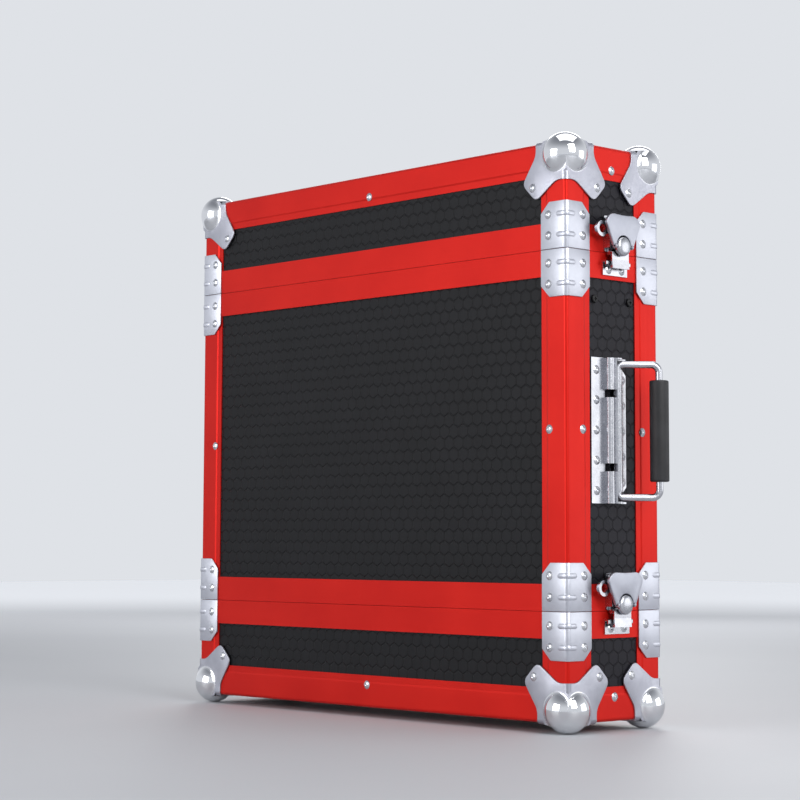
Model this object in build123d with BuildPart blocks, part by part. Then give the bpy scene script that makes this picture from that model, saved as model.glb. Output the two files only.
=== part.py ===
from build123d import *
from math import cos, radians, sin, sqrt
import os

os.makedirs("parts", exist_ok=True)

# A 19-inch rack case, two units high, standing on its rear lid.
# X is the case's width, Y its thickness and Z its depth, all in millimetres.

# Envelope of the extrusions
CASE_WIDTH = 515.0
CASE_THICK = 120.0
BODY_DEPTH = 315.0
LID_DEPTH = 95.5
SEAM_GAP = 0.4

# Double-angle edge extrusions
LEG = 30.0
SKIN = 1.5
RIDGE = 22.5
RIDGE_RUN = 1.5
STEP_DOWN = 0.5
LIP_REACH = 24.0
EDGE_RADIUS = 3.0
MITRE_GAP = 0.1
MITRE_ANGLE = 45.0
BALL_RELIEF = 12.0

# Panels and the foam pad in each lid
PANEL = 9.0
FIT = 0.1
FOAM_THICK = 15.0
FOAM_GAP = 0.3

# Closure extrusions at the two seams
CLOSURE_LEG = 23.5
CLOSURE_INNER = 18.0
BODY_WEB = 3.2
LID_WEB = 8.2
TONGUE_INSET = 4.0
TONGUE_THICK = 3.0
TONGUE_HEIGHT = 6.0
GROOVE_SIDE = 0.2
GROOVE_END = 0.5

# Ball corners
BALL_RADIUS = 20.0
BALL_OUT = 9.0
BALL_WALL = 1.5
LEAF_THICK = 1.5
LEAF_ROOT = 35.0
LEAF_SHOULDER = 11.0
LEAF_TIP = 51.5
LEAF_TIP_RADIUS = 4.0
LEAF_RIVET = 39.0
SKIRT_RADIUS = 5.0
SKIRT_SINK = 0.15

# Corner braces across the seams
BRACE_THICK = 1.5
BRACE_LEG = 29.0
BRACE_HEIGHT = 42.0
BRACE_CHAMFER = 10.0
BRACE_RIVET_INSET = 20.0
BRACE_RIVET_ROWS = (12.2, 30.7)
BEND_CLEARANCE = 0.1

# Rivets
RIVET_HEAD_RADIUS = 4.0
RIVET_HEAD_HEIGHT = 1.5
RIVET_SHANK_RADIUS = 2.0
RIVET_HOLE_CLEARANCE = 0.05
MANDREL_RADIUS = 1.4
MANDREL_RECESS = 0.6
EDGE_RIVET_INSET = 21.0

# Rack rails
RACK_UNIT = 44.45
RACK_UNITS = 2
RACK_HOLE_PITCH = 15.875
RACK_HOLE_RADIUS = 3.4
RACK_HOLE_INSET = 12.85
RAIL_THICK = 2.0
RAIL_FACE_LEG = 20.4
RAIL_SIDE_LEG = 30.0
RAIL_SETBACK = 27.0
RAIL_SCREW_DEPTH = 42.0
RAIL_SCREW_OFFSET = 23.0
SCREW_HEAD_RADIUS = 3.6
SCREW_HEAD_HEIGHT = 2.2
SCREW_HEAD_ROUND = 1.0
SCREW_RADIUS = 2.5
SCREW_SLOT = 1.0
NUT_RADIUS = 4.6
NUT_THICK = 4.0

# Bail handles
PLATE_THICK = 1.2
PLATE_LENGTH = 128.0
PLATE_NEAR = 28.0
PLATE_FAR = 17.0
PLATE_CORNER = 4.0
BARREL_RADIUS = 4.2
BARREL_RISE = 7.5
BARREL_SLOT = 7.0
BARREL_SLOT_SPREAD = 65.0
PIVOT_OUT = 5.0
ROD_RADIUS = 3.25
ROD_CLEARANCE = 0.15
ARM_LENGTH = 37.8
ARM_SPREAD = 117.2
ROD_BEND = 7.0
ARM_ROOT_BEND = 4.5
STUB_LENGTH = 28.0
ARM_GAP = 0.6
GRIP_RADIUS = 8.5
GRIP_LENGTH = 89.5
GRIP_EDGE = 1.2
BAIL_ANGLE = 55.0
NEAR_RIVET_Y = -21.5
NEAR_RIVET_PITCH = 26.5
NEAR_RIVET_COUNT = 5
FAR_RIVET_Y = 12.3
FAR_RIVET_PITCH = 22.6
FAR_RIVET_COUNT = 5

# Butterfly twist latches: along Y from the latch's centre, along Z from the seam
LATCH_Y = 2.0
BASE_HALF = 14.0
BASE_START = 1.0
BASE_END = 33.0
BASE_THICK = 1.5
BASE_WALL = 1.5
BASE_WALL_HEIGHT = 8.0
BASE_RIVETS = ((0.0, 20.5), (-7.5, 28.0), (7.5, 28.0))
EYE_Y = -23.0
EYE_Z = 20.0
EYE_RADIUS = 7.0
EYE_HOLE = 4.0
EYE_THICK = 3.0
EYE_LIFT = 4.5
EYE_TAB = 8.0
DRUM_Z = 5.5
DRUM_RADIUS = 8.7
DRUM_UNDERSIDE = 9.4
DRUM_EDGE = 2.6
DRUM_TOP = 14.5
DRUM_FOOT_RADIUS = 2.9
DRUM_NECK_RADIUS = 3.4
FOOT_CLEARANCE = 0.06
CAM_RADIUS = 5.0
CAM_OFFSET = 1.5
CAM_PLAY = 0.5
SLIDE_LIFT = 1.8
SLIDE_THICK = 2.0
SLIDE_BAR = 2.0
SLIDE_CLEARANCE = 0.2
HOOK_PIN_Z = -0.4
HOOK_PIN_LIFT = 4.0
HOOK_PIN_RADIUS = 1.0
KNUCKLE_RADIUS = 2.0
KNUCKLE_HALF = 7.0
EAR_HALF = 11.0
EAR_GAP = 0.2
PIN_CLEARANCE = 0.06
HOOK_HALF = 11.0
HOOK_THICK = 1.5
HOOK_KNEE = (-6.2, 7.3)
HOOK_END = (-13.2, 7.95)
HOOK_TOE = 1.2
HOOK_COVER = 0.4
WING_PIVOT_LIFT = 11.5
WING_PIN_RADIUS = 1.0
WING_BOSS_RADIUS = 2.1
WING_BOSS_WIDTH = 2.2
WING_THICK = 2.0
WING_RIM_WIDTH = 1.5
WING_RIM_DROP = 1.3
WING_GAP = 0.9
WING_NECK = 13.0
WING_LOBE = (23.0, 27.5)
WING_TOP = 34.0
WING_TOP_HALF = 15.5
WING_HOLLOW = 1.0
WING_ROUND = 5.0
KEEPER_HALF = 16.0
KEEPER_TOP = -7.0
KEEPER_BOTTOM = -20.0
KEEPER_THICK = 1.5
KEEPER_LIP_LIFT = 5.5
KEEPER_LIP_DROP = 4.0
KEEPER_RIVET_Z = -15.0
KEEPER_RIVET_SPREAD = 17.0

# Places that follow from the sizes
HALF_W = CASE_WIDTH / 2
HALF_T = CASE_THICK / 2
REAR_SEAM = BALL_OUT + LID_DEPTH
FRONT_SEAM = REAR_SEAM + BODY_DEPTH
TOP = FRONT_SEAM + LID_DEPTH
MIDDLE = (TOP + BALL_OUT) / 2
HALF_GAP = SEAM_GAP / 2
SLOT_FACE = SKIN + PANEL
INNER_FACE = SLOT_FACE + SKIN
PANEL_EDGE = INNER_FACE + FIT
BEND = EDGE_RADIUS - BEND_CLEARANCE
PANEL_FACE = HALF_W - SKIN
PLATE_TOP = PANEL_FACE + PLATE_THICK
PIVOT_X = HALF_W + PIVOT_OUT
RAIL_OUTER = HALF_W - INNER_FACE - FIT
RAIL_EDGE = RAIL_OUTER - RAIL_FACE_LEG
RAIL_FACE = FRONT_SEAM - RAIL_SETBACK
RAIL_HEIGHT = RACK_UNIT * RACK_UNITS
SIDES = (1, -1)
CORNERS = [(sx, sy) for sx in SIDES for sy in SIDES]
MIDDLE_PLANE = Plane.XY.offset(MIDDLE)


def save(part, name):
    """Label a finished piece and write it under its own name."""
    part.label = name
    export_step(part, f"parts/{name}.step")


def place(x, y, z, outward):
    """A point on the case with its local Z pointing outward."""
    return Plane(origin=(x, y, z), z_dir=outward).location


def half_turn(part):
    """The same hardware on the case's other narrow side."""
    return part.rotate(Axis.Z, 180)


def flipped(part):
    """The rear lid's copy of a front lid piece."""
    return mirror(part, about=MIDDLE_PLANE)


def opposite(part):
    """The left handle's copy of a right handle piece, folding towards the same broad face."""
    return mirror(part, about=Plane.YZ)


# Rivet places, each seated a given height off the envelope

def brace_places(seam, way, seat, broad):
    found = []
    for sx, sy in CORNERS:
        for row in BRACE_RIVET_ROWS:
            z = seam + way * row
            if broad:
                found.append(place(sx * (HALF_W - BRACE_RIVET_INSET), sy * (HALF_T + seat), z, (0, sy, 0)))
            else:
                found.append(place(sx * (HALF_W + seat), sy * (HALF_T - BRACE_RIVET_INSET), z, (sx, 0, 0)))
    return found


def upright_places(broad):
    if broad:
        inset = HALF_W - EDGE_RIVET_INSET
        return [place(sx * inset, sy * HALF_T, MIDDLE, (0, sy, 0)) for sx, sy in CORNERS]
    inset = HALF_T - EDGE_RIVET_INSET
    return [place(sx * HALF_W, sy * inset, MIDDLE, (sx, 0, 0)) for sx, sy in CORNERS]


def cover_edge_places(face_name):
    if face_name == "cover":
        found = [place(0, s * (HALF_T - EDGE_RIVET_INSET), TOP, (0, 0, 1)) for s in SIDES]
        return found + [place(s * (HALF_W - EDGE_RIVET_INSET), 0, TOP, (0, 0, 1)) for s in SIDES]
    if face_name == "broad":
        return [place(0, s * HALF_T, TOP - EDGE_RIVET_INSET, (0, s, 0)) for s in SIDES]
    return [place(s * HALF_W, 0, TOP - EDGE_RIVET_INSET, (s, 0, 0)) for s in SIDES]


def leaf_places(face_name, seat):
    found = []
    for sx, sy in CORNERS:
        x, y, z = HALF_W - LEAF_RIVET, HALF_T - LEAF_RIVET, TOP - LEAF_RIVET
        if face_name == "cover":
            found.append(place(sx * x, sy * y, TOP + seat, (0, 0, 1)))
        elif face_name == "broad":
            found.append(place(sx * x, sy * (HALF_T + seat), z, (0, sy, 0)))
        else:
            found.append(place(sx * (HALF_W + seat), sy * y, z, (sx, 0, 0)))
    return found


def side_places(spots, seam, seat):
    """Spots on both narrow sides, the left ones turned half round."""
    found = []
    for s in SIDES:
        found += [place(s * (HALF_W + seat), s * (LATCH_Y + u), seam + v, (s, 0, 0)) for u, v in spots]
    return found


KEEPER_SPOTS = [(s * KEEPER_RIVET_SPREAD / 2, KEEPER_RIVET_Z) for s in SIDES]


def spaced(count, pitch):
    """Even steps along a line, centred on its middle."""
    return [(i - (count - 1) / 2) * pitch for i in range(count)]


def handle_places():
    spots = [(NEAR_RIVET_Y, h) for h in spaced(NEAR_RIVET_COUNT, NEAR_RIVET_PITCH)]
    spots += [(FAR_RIVET_Y, h) for h in spaced(FAR_RIVET_COUNT, FAR_RIVET_PITCH)]
    return [place(s * PLATE_TOP, y, MIDDLE + h, (s, 0, 0)) for s in SIDES for y, h in spots]


def rail_screw_places():
    spots = [(s * RAIL_SCREW_OFFSET - LATCH_Y, -RAIL_SCREW_DEPTH) for s in SIDES]
    return side_places(spots, FRONT_SEAM, -SKIN)


def rivet(depth):
    """A pop rivet with its seat at Z = 0, its mandrel hole above and its shank below."""
    cap = (RIVET_HEAD_RADIUS**2 + RIVET_HEAD_HEIGHT**2) / (2 * RIVET_HEAD_HEIGHT)
    low = RIVET_HEAD_HEIGHT - cap

    def height(radius):
        return low + sqrt(cap**2 - radius**2)

    middle = (MANDREL_RADIUS + RIVET_HEAD_RADIUS) / 2
    with BuildPart() as piece:
        with BuildSketch(Plane.XZ):
            with BuildLine():
                crown = ThreePointArc(
                    (MANDREL_RADIUS, height(MANDREL_RADIUS)),
                    (middle, height(middle)),
                    (RIVET_HEAD_RADIUS, 0),
                )
                Polyline(
                    crown @ 1,
                    (RIVET_SHANK_RADIUS, 0),
                    (RIVET_SHANK_RADIUS, -depth),
                    (0, -depth),
                    (0, RIVET_HEAD_HEIGHT - MANDREL_RECESS),
                    (MANDREL_RADIUS, RIVET_HEAD_HEIGHT - MANDREL_RECESS),
                    crown @ 0,
                )
            make_face()
        revolve(axis=Axis.Z)
    return piece.part


def set_rivets(places, depth):
    """Put a rivet at each place of the part in work."""
    template = rivet(depth)
    with Locations(*places):
        add(template)


def drill(places, radius=RIVET_SHANK_RADIUS + RIVET_HOLE_CLEARANCE):
    """Cut a hole along each place's axis, clear through the wall and short of the far one."""
    with Locations(*places):
        Cylinder(radius, 2 * LEG, mode=Mode.SUBTRACT)


# Extrusions

def double_angle(plane, length):
    """Edge extrusion: two angles round a hollow corner, with a slot for a panel on each leg."""
    low = STEP_DOWN
    with BuildSketch(plane) as section:
        with BuildLine():
            corner = FilletPolyline((RIDGE, 0), (0, 0), (0, RIDGE), radius=EDGE_RADIUS)
            Polyline(
                corner @ 1,
                (low, RIDGE + RIDGE_RUN),
                (low, LEG),
                (SKIN, LEG),
                (SKIN, INNER_FACE),
                (SLOT_FACE, INNER_FACE),
                (SLOT_FACE, LIP_REACH),
                (INNER_FACE, LIP_REACH),
                (INNER_FACE, INNER_FACE),
                (LIP_REACH, INNER_FACE),
                (LIP_REACH, SLOT_FACE),
                (INNER_FACE, SLOT_FACE),
                (INNER_FACE, SKIN),
                (LEG, SKIN),
                (LEG, low),
                (RIDGE + RIDGE_RUN, low),
                corner @ 0,
            )
        make_face()
        with Locations(((SKIN + SLOT_FACE) / 2, (SKIN + SLOT_FACE) / 2)):
            Rectangle(PANEL, PANEL, mode=Mode.SUBTRACT)
    extrude(section.sketch, amount=length)


def trim(corner, *directions):
    """Keep what lies beyond each slanted plane through a corner of the envelope."""
    for direction in directions:
        split(bisect_by=Plane(origin=corner, z_dir=direction).offset(MITRE_GAP / 2), keep=Keep.TOP)


def closure_frame(bottom, inner, web, seam_face):
    """One closure extrusion run round the case: outer leg, inner leg and web."""
    for start, end, outset, inset in (
        (bottom, seam_face, 0, SKIN),
        (inner, seam_face, SLOT_FACE, INNER_FACE),
        (web, seam_face, SKIN, INNER_FACE),
    ):
        with BuildSketch(Plane.XY.offset(start)) as ring:
            Rectangle(CASE_WIDTH - 2 * outset, CASE_THICK - 2 * outset)
            Rectangle(CASE_WIDTH - 2 * inset, CASE_THICK - 2 * inset, mode=Mode.SUBTRACT)
        extrude(ring.sketch, amount=end - start)


def round_outside(part):
    """Round the four outer upright edges of a closure frame."""
    uprights = part.edges().filter_by(Axis.Z).filter_by(
        lambda e: abs(abs(e.center().X) - HALF_W) < 0.01 and abs(abs(e.center().Y) - HALF_T) < 0.01
    )
    fillet(uprights, EDGE_RADIUS)


def mitre_corners(z):
    """Saw a closure frame into its four lengths."""
    for sx, sy in CORNERS:
        corner = (sx * (HALF_W - INNER_FACE), sy * (HALF_T - INNER_FACE), z)
        with Locations(Location(corner, (0, 0, sx * sy * MITRE_ANGLE))):
            Box(4 * INNER_FACE, MITRE_GAP, 4 * CLOSURE_LEG, mode=Mode.SUBTRACT)


def mirror_quarters():
    mirror(about=Plane.YZ)
    mirror(about=Plane.XZ)


# Case body

def wall(thickness_axis, side, bottom, top, edge):
    """A laminated plywood wall seated in the slots of the extrusions round it."""
    if thickness_axis == "Y":
        centre = (0, side * (HALF_T - SKIN - PANEL / 2), (bottom + top) / 2)
        with Locations(centre):
            Box(CASE_WIDTH - 2 * edge, PANEL, top - bottom)
    else:
        centre = (side * (HALF_W - SKIN - PANEL / 2), 0, (bottom + top) / 2)
        with Locations(centre):
            Box(PANEL, CASE_THICK - 2 * edge, top - bottom)


BODY_WALL_BOTTOM = REAR_SEAM + BODY_WEB + FIT
BODY_WALL_TOP = FRONT_SEAM - BODY_WEB - FIT
BODY_BROAD = brace_places(FRONT_SEAM, -1, 0, True) + brace_places(REAR_SEAM, 1, 0, True)
BODY_NARROW = brace_places(FRONT_SEAM, -1, 0, False) + brace_places(REAR_SEAM, 1, 0, False)
KEEPER_BODY = side_places(KEEPER_SPOTS, FRONT_SEAM, 0)
BASE_BODY = side_places(BASE_RIVETS, REAR_SEAM, 0)

for side, name in ((-1, "near_panel"), (1, "far_panel")):
    with BuildPart() as broad_panel:
        wall("Y", side, BODY_WALL_BOTTOM, BODY_WALL_TOP, PANEL_EDGE)
        drill(BODY_BROAD + upright_places(True))
    save(broad_panel.part, name)

for side, name in ((1, "right_panel"), (-1, "left_panel")):
    with BuildPart() as side_panel:
        wall("X", side, BODY_WALL_BOTTOM, BODY_WALL_TOP, PANEL_EDGE)
        drill(BODY_NARROW + upright_places(False) + KEEPER_BODY + BASE_BODY + handle_places())
        drill(rail_screw_places(), SCREW_RADIUS + RIVET_HOLE_CLEARANCE)
    save(side_panel.part, name)

with BuildPart() as body_corner_extrusions:
    upright_start = REAR_SEAM + CLOSURE_LEG + FIT
    upright_end = FRONT_SEAM - CLOSURE_LEG - FIT
    double_angle(Plane(origin=(-HALF_W, -HALF_T, upright_start)), upright_end - upright_start)
    mirror_quarters()
    drill(BODY_BROAD + BODY_NARROW + upright_places(True) + upright_places(False))
save(body_corner_extrusions.part, "body_corner_extrusions")

with BuildPart() as front_closure_frame:
    body_face = FRONT_SEAM - HALF_GAP
    closure_frame(FRONT_SEAM - CLOSURE_LEG, FRONT_SEAM - CLOSURE_INNER, FRONT_SEAM - BODY_WEB, body_face)
    with BuildSketch(Plane.XY.offset(body_face)):
        tongue_outer = 2 * TONGUE_INSET
        tongue_inner = 2 * (TONGUE_INSET + TONGUE_THICK)
        Rectangle(CASE_WIDTH - tongue_outer, CASE_THICK - tongue_outer)
        Rectangle(CASE_WIDTH - tongue_inner, CASE_THICK - tongue_inner, mode=Mode.SUBTRACT)
    extrude(amount=TONGUE_HEIGHT)
    round_outside(front_closure_frame)
    mitre_corners(FRONT_SEAM)
blank_closure = front_closure_frame.part

with BuildPart() as front_closure:
    add(blank_closure)
    drill(brace_places(FRONT_SEAM, -1, 0, True) + brace_places(FRONT_SEAM, -1, 0, False) + KEEPER_BODY)
save(front_closure.part, "front_closure_frame")

with BuildPart() as rear_closure:
    add(flipped(blank_closure))
    drill(brace_places(REAR_SEAM, 1, 0, True) + brace_places(REAR_SEAM, 1, 0, False) + BASE_BODY)
save(rear_closure.part, "rear_closure_frame")


def corner_braces(seam, way):
    """Four sheet angles wrapped round the upright edges on one side of a seam."""
    start = seam + way * HALF_GAP
    with BuildPart() as braces:
        with BuildSketch(Plane(origin=(-HALF_W, -HALF_T, start))):
            with BuildLine():
                outer = FilletPolyline(
                    (BRACE_LEG, -BRACE_THICK),
                    (-BRACE_THICK, -BRACE_THICK),
                    (-BRACE_THICK, BRACE_LEG),
                    radius=BEND + BRACE_THICK,
                )
                inner = FilletPolyline((0, BRACE_LEG), (0, 0), (BRACE_LEG, 0), radius=BEND)
                Line(outer @ 1, inner @ 0)
                Line(inner @ 1, outer @ 0)
            make_face()
        extrude(amount=way * (BRACE_HEIGHT - HALF_GAP))
        far_end = braces.edges().group_by(Axis.Z)[-1 if way > 0 else 0]
        chamfer(far_end.filter_by(lambda e: abs(e.length - BRACE_THICK) < 0.01), BRACE_CHAMFER)
        mirror_quarters()
        drill(brace_places(seam, way, 0, True) + brace_places(seam, way, 0, False))
    return braces.part


with BuildPart() as body_corner_braces:
    add(corner_braces(FRONT_SEAM, -1))
    add(corner_braces(REAR_SEAM, 1))
save(body_corner_braces.part, "body_corner_braces")

with BuildPart() as body_brace_rivets:
    for broad in (True, False):
        set_rivets(brace_places(FRONT_SEAM, -1, BRACE_THICK, broad), BRACE_THICK + INNER_FACE)
        set_rivets(brace_places(REAR_SEAM, 1, BRACE_THICK, broad), BRACE_THICK + INNER_FACE)
save(body_brace_rivets.part, "body_brace_rivets")

with BuildPart() as body_edge_rivets:
    set_rivets(upright_places(True) + upright_places(False), INNER_FACE)
save(body_edge_rivets.part, "body_edge_rivets")

# Rack rails, their screws and nuts

with BuildPart() as rack_rails:
    with BuildSketch(Plane.XZ.offset(-RAIL_HEIGHT / 2)):
        with BuildLine():
            Polyline(
                (RAIL_EDGE, RAIL_FACE),
                (RAIL_OUTER, RAIL_FACE),
                (RAIL_OUTER, RAIL_FACE - RAIL_SIDE_LEG),
                (RAIL_OUTER - RAIL_THICK, RAIL_FACE - RAIL_SIDE_LEG),
                (RAIL_OUTER - RAIL_THICK, RAIL_FACE - RAIL_THICK),
                (RAIL_EDGE, RAIL_FACE - RAIL_THICK),
                close=True,
            )
        make_face()
    extrude(amount=RAIL_HEIGHT)
    unit_rows = [(u - (RACK_UNITS - 1) / 2) * RACK_UNIT for u in range(RACK_UNITS)]
    hole_rows = [y + k * RACK_HOLE_PITCH for y in unit_rows for k in (-1, 0, 1)]
    with Locations(*[(RAIL_OUTER - RACK_HOLE_INSET, y, RAIL_FACE) for y in hole_rows]):
        Cylinder(RACK_HOLE_RADIUS, 3 * RAIL_THICK, mode=Mode.SUBTRACT)
    mirror(about=Plane.YZ)
    drill(rail_screw_places(), SCREW_RADIUS + RIVET_HOLE_CLEARANCE)
save(rack_rails.part, "rack_rails")

screw_length = PANEL_FACE - RAIL_OUTER + RAIL_THICK + NUT_THICK
with BuildPart() as rail_screw:
    with BuildSketch(Plane.XZ):
        with BuildLine():
            FilletPolyline(
                (0, -screw_length),
                (SCREW_RADIUS, -screw_length),
                (SCREW_RADIUS, 0),
                (SCREW_HEAD_RADIUS, 0),
                (SCREW_HEAD_RADIUS, SCREW_HEAD_HEIGHT),
                (0, SCREW_HEAD_HEIGHT),
                radius=(0, 0, 0, 0, SCREW_HEAD_ROUND, 0),
                close=True,
            )
        make_face()
    revolve(axis=Axis.Z)
    with Locations((0, 0, SCREW_HEAD_HEIGHT)):
        Box(SCREW_SLOT, SCREW_HEAD_RADIUS, SCREW_HEAD_HEIGHT, mode=Mode.SUBTRACT)
        Box(SCREW_HEAD_RADIUS, SCREW_SLOT, SCREW_HEAD_HEIGHT, mode=Mode.SUBTRACT)

with BuildPart() as rail_screws:
    with Locations(*rail_screw_places()):
        add(rail_screw.part)
save(rail_screws.part, "rail_screws")

with BuildPart() as rail_nut:
    nut_seat = RAIL_OUTER - RAIL_THICK - PANEL_FACE
    with BuildSketch(Plane.XY.offset(nut_seat - NUT_THICK)):
        RegularPolygon(NUT_RADIUS, 6)
        Circle(SCREW_RADIUS + RIVET_HOLE_CLEARANCE, mode=Mode.SUBTRACT)
    extrude(amount=NUT_THICK)

with BuildPart() as rail_nuts:
    with Locations(*rail_screw_places()):
        add(rail_nut.part)
save(rail_nuts.part, "rail_nuts")

# Handles

barrel_top = PLATE_THICK + BARREL_RISE
barrel_centre = barrel_top - BARREL_RADIUS
barrel_bore = BARREL_RADIUS - PLATE_THICK
ridge_inner = ROD_RADIUS + ROD_CLEARANCE
ridge_outer = ridge_inner + PLATE_THICK
barrel_y = -ridge_inner - BARREL_RADIUS
pivot_lift = PIVOT_X - PANEL_FACE

with BuildPart() as right_plate:
    # Section looking down the plate: local X runs along Y, local Y stands off the panel
    plate_end = (PANEL_FACE, 0, MIDDLE - PLATE_LENGTH / 2)
    section_plane = Plane(origin=plate_end, x_dir=(0, -1, 0), z_dir=(0, 0, 1))
    with BuildSketch(section_plane):
        with Locations(((PLATE_NEAR - PLATE_FAR) / 2, PLATE_THICK / 2)):
            Rectangle(PLATE_NEAR + PLATE_FAR, PLATE_THICK)
        with Locations((0, pivot_lift / 2)):
            Rectangle(2 * ridge_outer, pivot_lift)
        with Locations((0, pivot_lift)):
            Circle(ridge_outer)
        with Locations((-barrel_y, barrel_centre / 2)):
            Rectangle(2 * BARREL_RADIUS, barrel_centre)
        with Locations((-barrel_y, barrel_centre)):
            Circle(BARREL_RADIUS)
        with Locations((0, (pivot_lift - PLATE_THICK) / 2)):
            Rectangle(2 * ridge_inner, pivot_lift + PLATE_THICK, mode=Mode.SUBTRACT)
        with Locations((0, pivot_lift)):
            Circle(ridge_inner, mode=Mode.SUBTRACT)
        with Locations((-barrel_y, (barrel_centre - PLATE_THICK) / 2)):
            Rectangle(2 * barrel_bore, barrel_centre + PLATE_THICK, mode=Mode.SUBTRACT)
        with Locations((-barrel_y, barrel_centre)):
            Circle(barrel_bore, mode=Mode.SUBTRACT)
    extrude(amount=PLATE_LENGTH)
    # Notches for the bail's arms, and the slots across the barrel
    notch_low = ARM_SPREAD / 2 - ARM_ROOT_BEND - ARM_GAP
    notch_high = ARM_SPREAD / 2 + ROD_RADIUS + ARM_GAP
    notch_width = ridge_inner + PLATE_FAR
    notch_y = (PLATE_FAR + FIT - ridge_inner) / 2
    for s in SIDES:
        with Locations((PANEL_FACE, notch_y, MIDDLE + s * (notch_low + notch_high) / 2)):
            Box(4 * pivot_lift, notch_width + FIT, notch_high - notch_low, mode=Mode.SUBTRACT)
        with Locations((PLATE_TOP + BARREL_RADIUS, barrel_y, MIDDLE + s * BARREL_SLOT_SPREAD / 2)):
            Box(2 * BARREL_RADIUS - FIT, 2 * BARREL_RADIUS, BARREL_SLOT, mode=Mode.SUBTRACT)
    notch_corners = right_plate.edges().filter_by(Axis.X).filter_by(
        lambda e: abs(e.center().Y - PLATE_FAR) < 0.01 and abs(abs(e.center().Z - MIDDLE) - notch_low) < 0.01
    )
    chamfer(notch_corners, PLATE_CORNER)
    drill(handle_places())

with BuildPart() as handle_plates:
    add(right_plate.part)
    add(opposite(right_plate.part))
save(handle_plates.part, "handle_plates")

with BuildPart() as handle_rivets:
    set_rivets(handle_places(), SLOT_FACE + PLATE_TOP - HALF_W)
save(handle_rivets.part, "handle_rivets")

outward = (cos(radians(BAIL_ANGLE)), sin(radians(BAIL_ANGLE)), 0)
bail_plane = Plane(origin=(PIVOT_X, 0, MIDDLE), x_dir=outward, z_dir=(outward[1], -outward[0], 0))
stub_end = ARM_SPREAD / 2 - STUB_LENGTH

with BuildPart() as bail:
    with BuildLine(bail_plane) as bail_path:
        FilletPolyline(
            (0, -stub_end),
            (0, -ARM_SPREAD / 2),
            (ARM_LENGTH, -ARM_SPREAD / 2),
            (ARM_LENGTH, ARM_SPREAD / 2),
            (0, ARM_SPREAD / 2),
            (0, stub_end),
            radius=(ARM_ROOT_BEND, ROD_BEND, ROD_BEND, ARM_ROOT_BEND),
        )
    with BuildSketch(Plane(origin=bail_path.line @ 0, z_dir=bail_path.line % 0)):
        Circle(ROD_RADIUS)
    sweep()
save(bail.part, "right_bail")
save(opposite(bail.part), "left_bail")

with BuildPart() as grip:
    grip_x = PIVOT_X + ARM_LENGTH * outward[0]
    grip_y = ARM_LENGTH * outward[1]
    with BuildSketch(Plane(origin=(grip_x, grip_y, MIDDLE - GRIP_LENGTH / 2))):
        Circle(GRIP_RADIUS)
    extrude(amount=GRIP_LENGTH)
    fillet(grip.edges().filter_by(GeomType.CIRCLE), GRIP_EDGE)
    with Locations((grip_x, grip_y, MIDDLE)):
        Cylinder(ROD_RADIUS + FIT / 2, GRIP_LENGTH, mode=Mode.SUBTRACT)
save(grip.part, "right_grip")
save(opposite(grip.part), "left_grip")

# Latches, made on the right side at the front seam

LATCH = Plane(origin=(HALF_W, LATCH_Y, FRONT_SEAM), x_dir=(0, 1, 0), z_dir=(1, 0, 0))


def four_ways(part, piece):
    """Write one latch piece at both seams of both narrow sides."""
    rear = part.moved(Location((0, 0, -BODY_DEPTH)))
    save(part, f"front_right_{piece}")
    save(half_turn(part), f"front_left_{piece}")
    save(rear, f"rear_right_{piece}")
    save(half_turn(rear), f"rear_left_{piece}")


def side_pair(part, drop, name):
    """One node with the right piece and its half-turned left copy, moved down by a distance."""
    with BuildPart() as pair:
        add(part.moved(Location((0, 0, -drop))))
        add(half_turn(part.moved(Location((0, 0, -drop)))))
    save(pair.part, name)


with BuildPart() as latch_base:
    with BuildSketch(LATCH):
        with Locations((0, (BASE_START + BASE_END) / 2)):
            RectangleRounded(2 * BASE_HALF, BASE_END - BASE_START, BASE_WALL)
    extrude(amount=BASE_THICK)
    with BuildSketch(LATCH):
        for s in SIDES:
            with Locations((s * (BASE_HALF - BASE_WALL / 2), (BASE_START + BASE_END) / 2)):
                Rectangle(BASE_WALL, BASE_END - BASE_START - 4 * BASE_WALL)
    extrude(amount=BASE_WALL_HEIGHT)
    with BuildSketch(LATCH.offset(EYE_LIFT)):
        with Locations((EYE_Y, EYE_Z)):
            Circle(EYE_RADIUS)
        with Locations(((EYE_Y - BASE_HALF + BASE_WALL) / 2, EYE_Z)):
            Rectangle(-EYE_Y - BASE_HALF + BASE_WALL, EYE_TAB)
        with Locations((EYE_Y, EYE_Z)):
            Circle(EYE_HOLE, mode=Mode.SUBTRACT)
    extrude(amount=EYE_THICK)
    with BuildSketch(LATCH):
        with Locations((0, DRUM_Z)):
            Circle(DRUM_FOOT_RADIUS + FOOT_CLEARANCE)
    extrude(amount=BASE_THICK, mode=Mode.SUBTRACT)
    with BuildSketch(LATCH):
        with Locations(*BASE_RIVETS):
            Circle(RIVET_SHANK_RADIUS + RIVET_HOLE_CLEARANCE)
    extrude(amount=BASE_THICK, mode=Mode.SUBTRACT)
side_pair(latch_base.part, 0, "front_latch_bases")
side_pair(latch_base.part, BODY_DEPTH, "rear_latch_bases")

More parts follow.
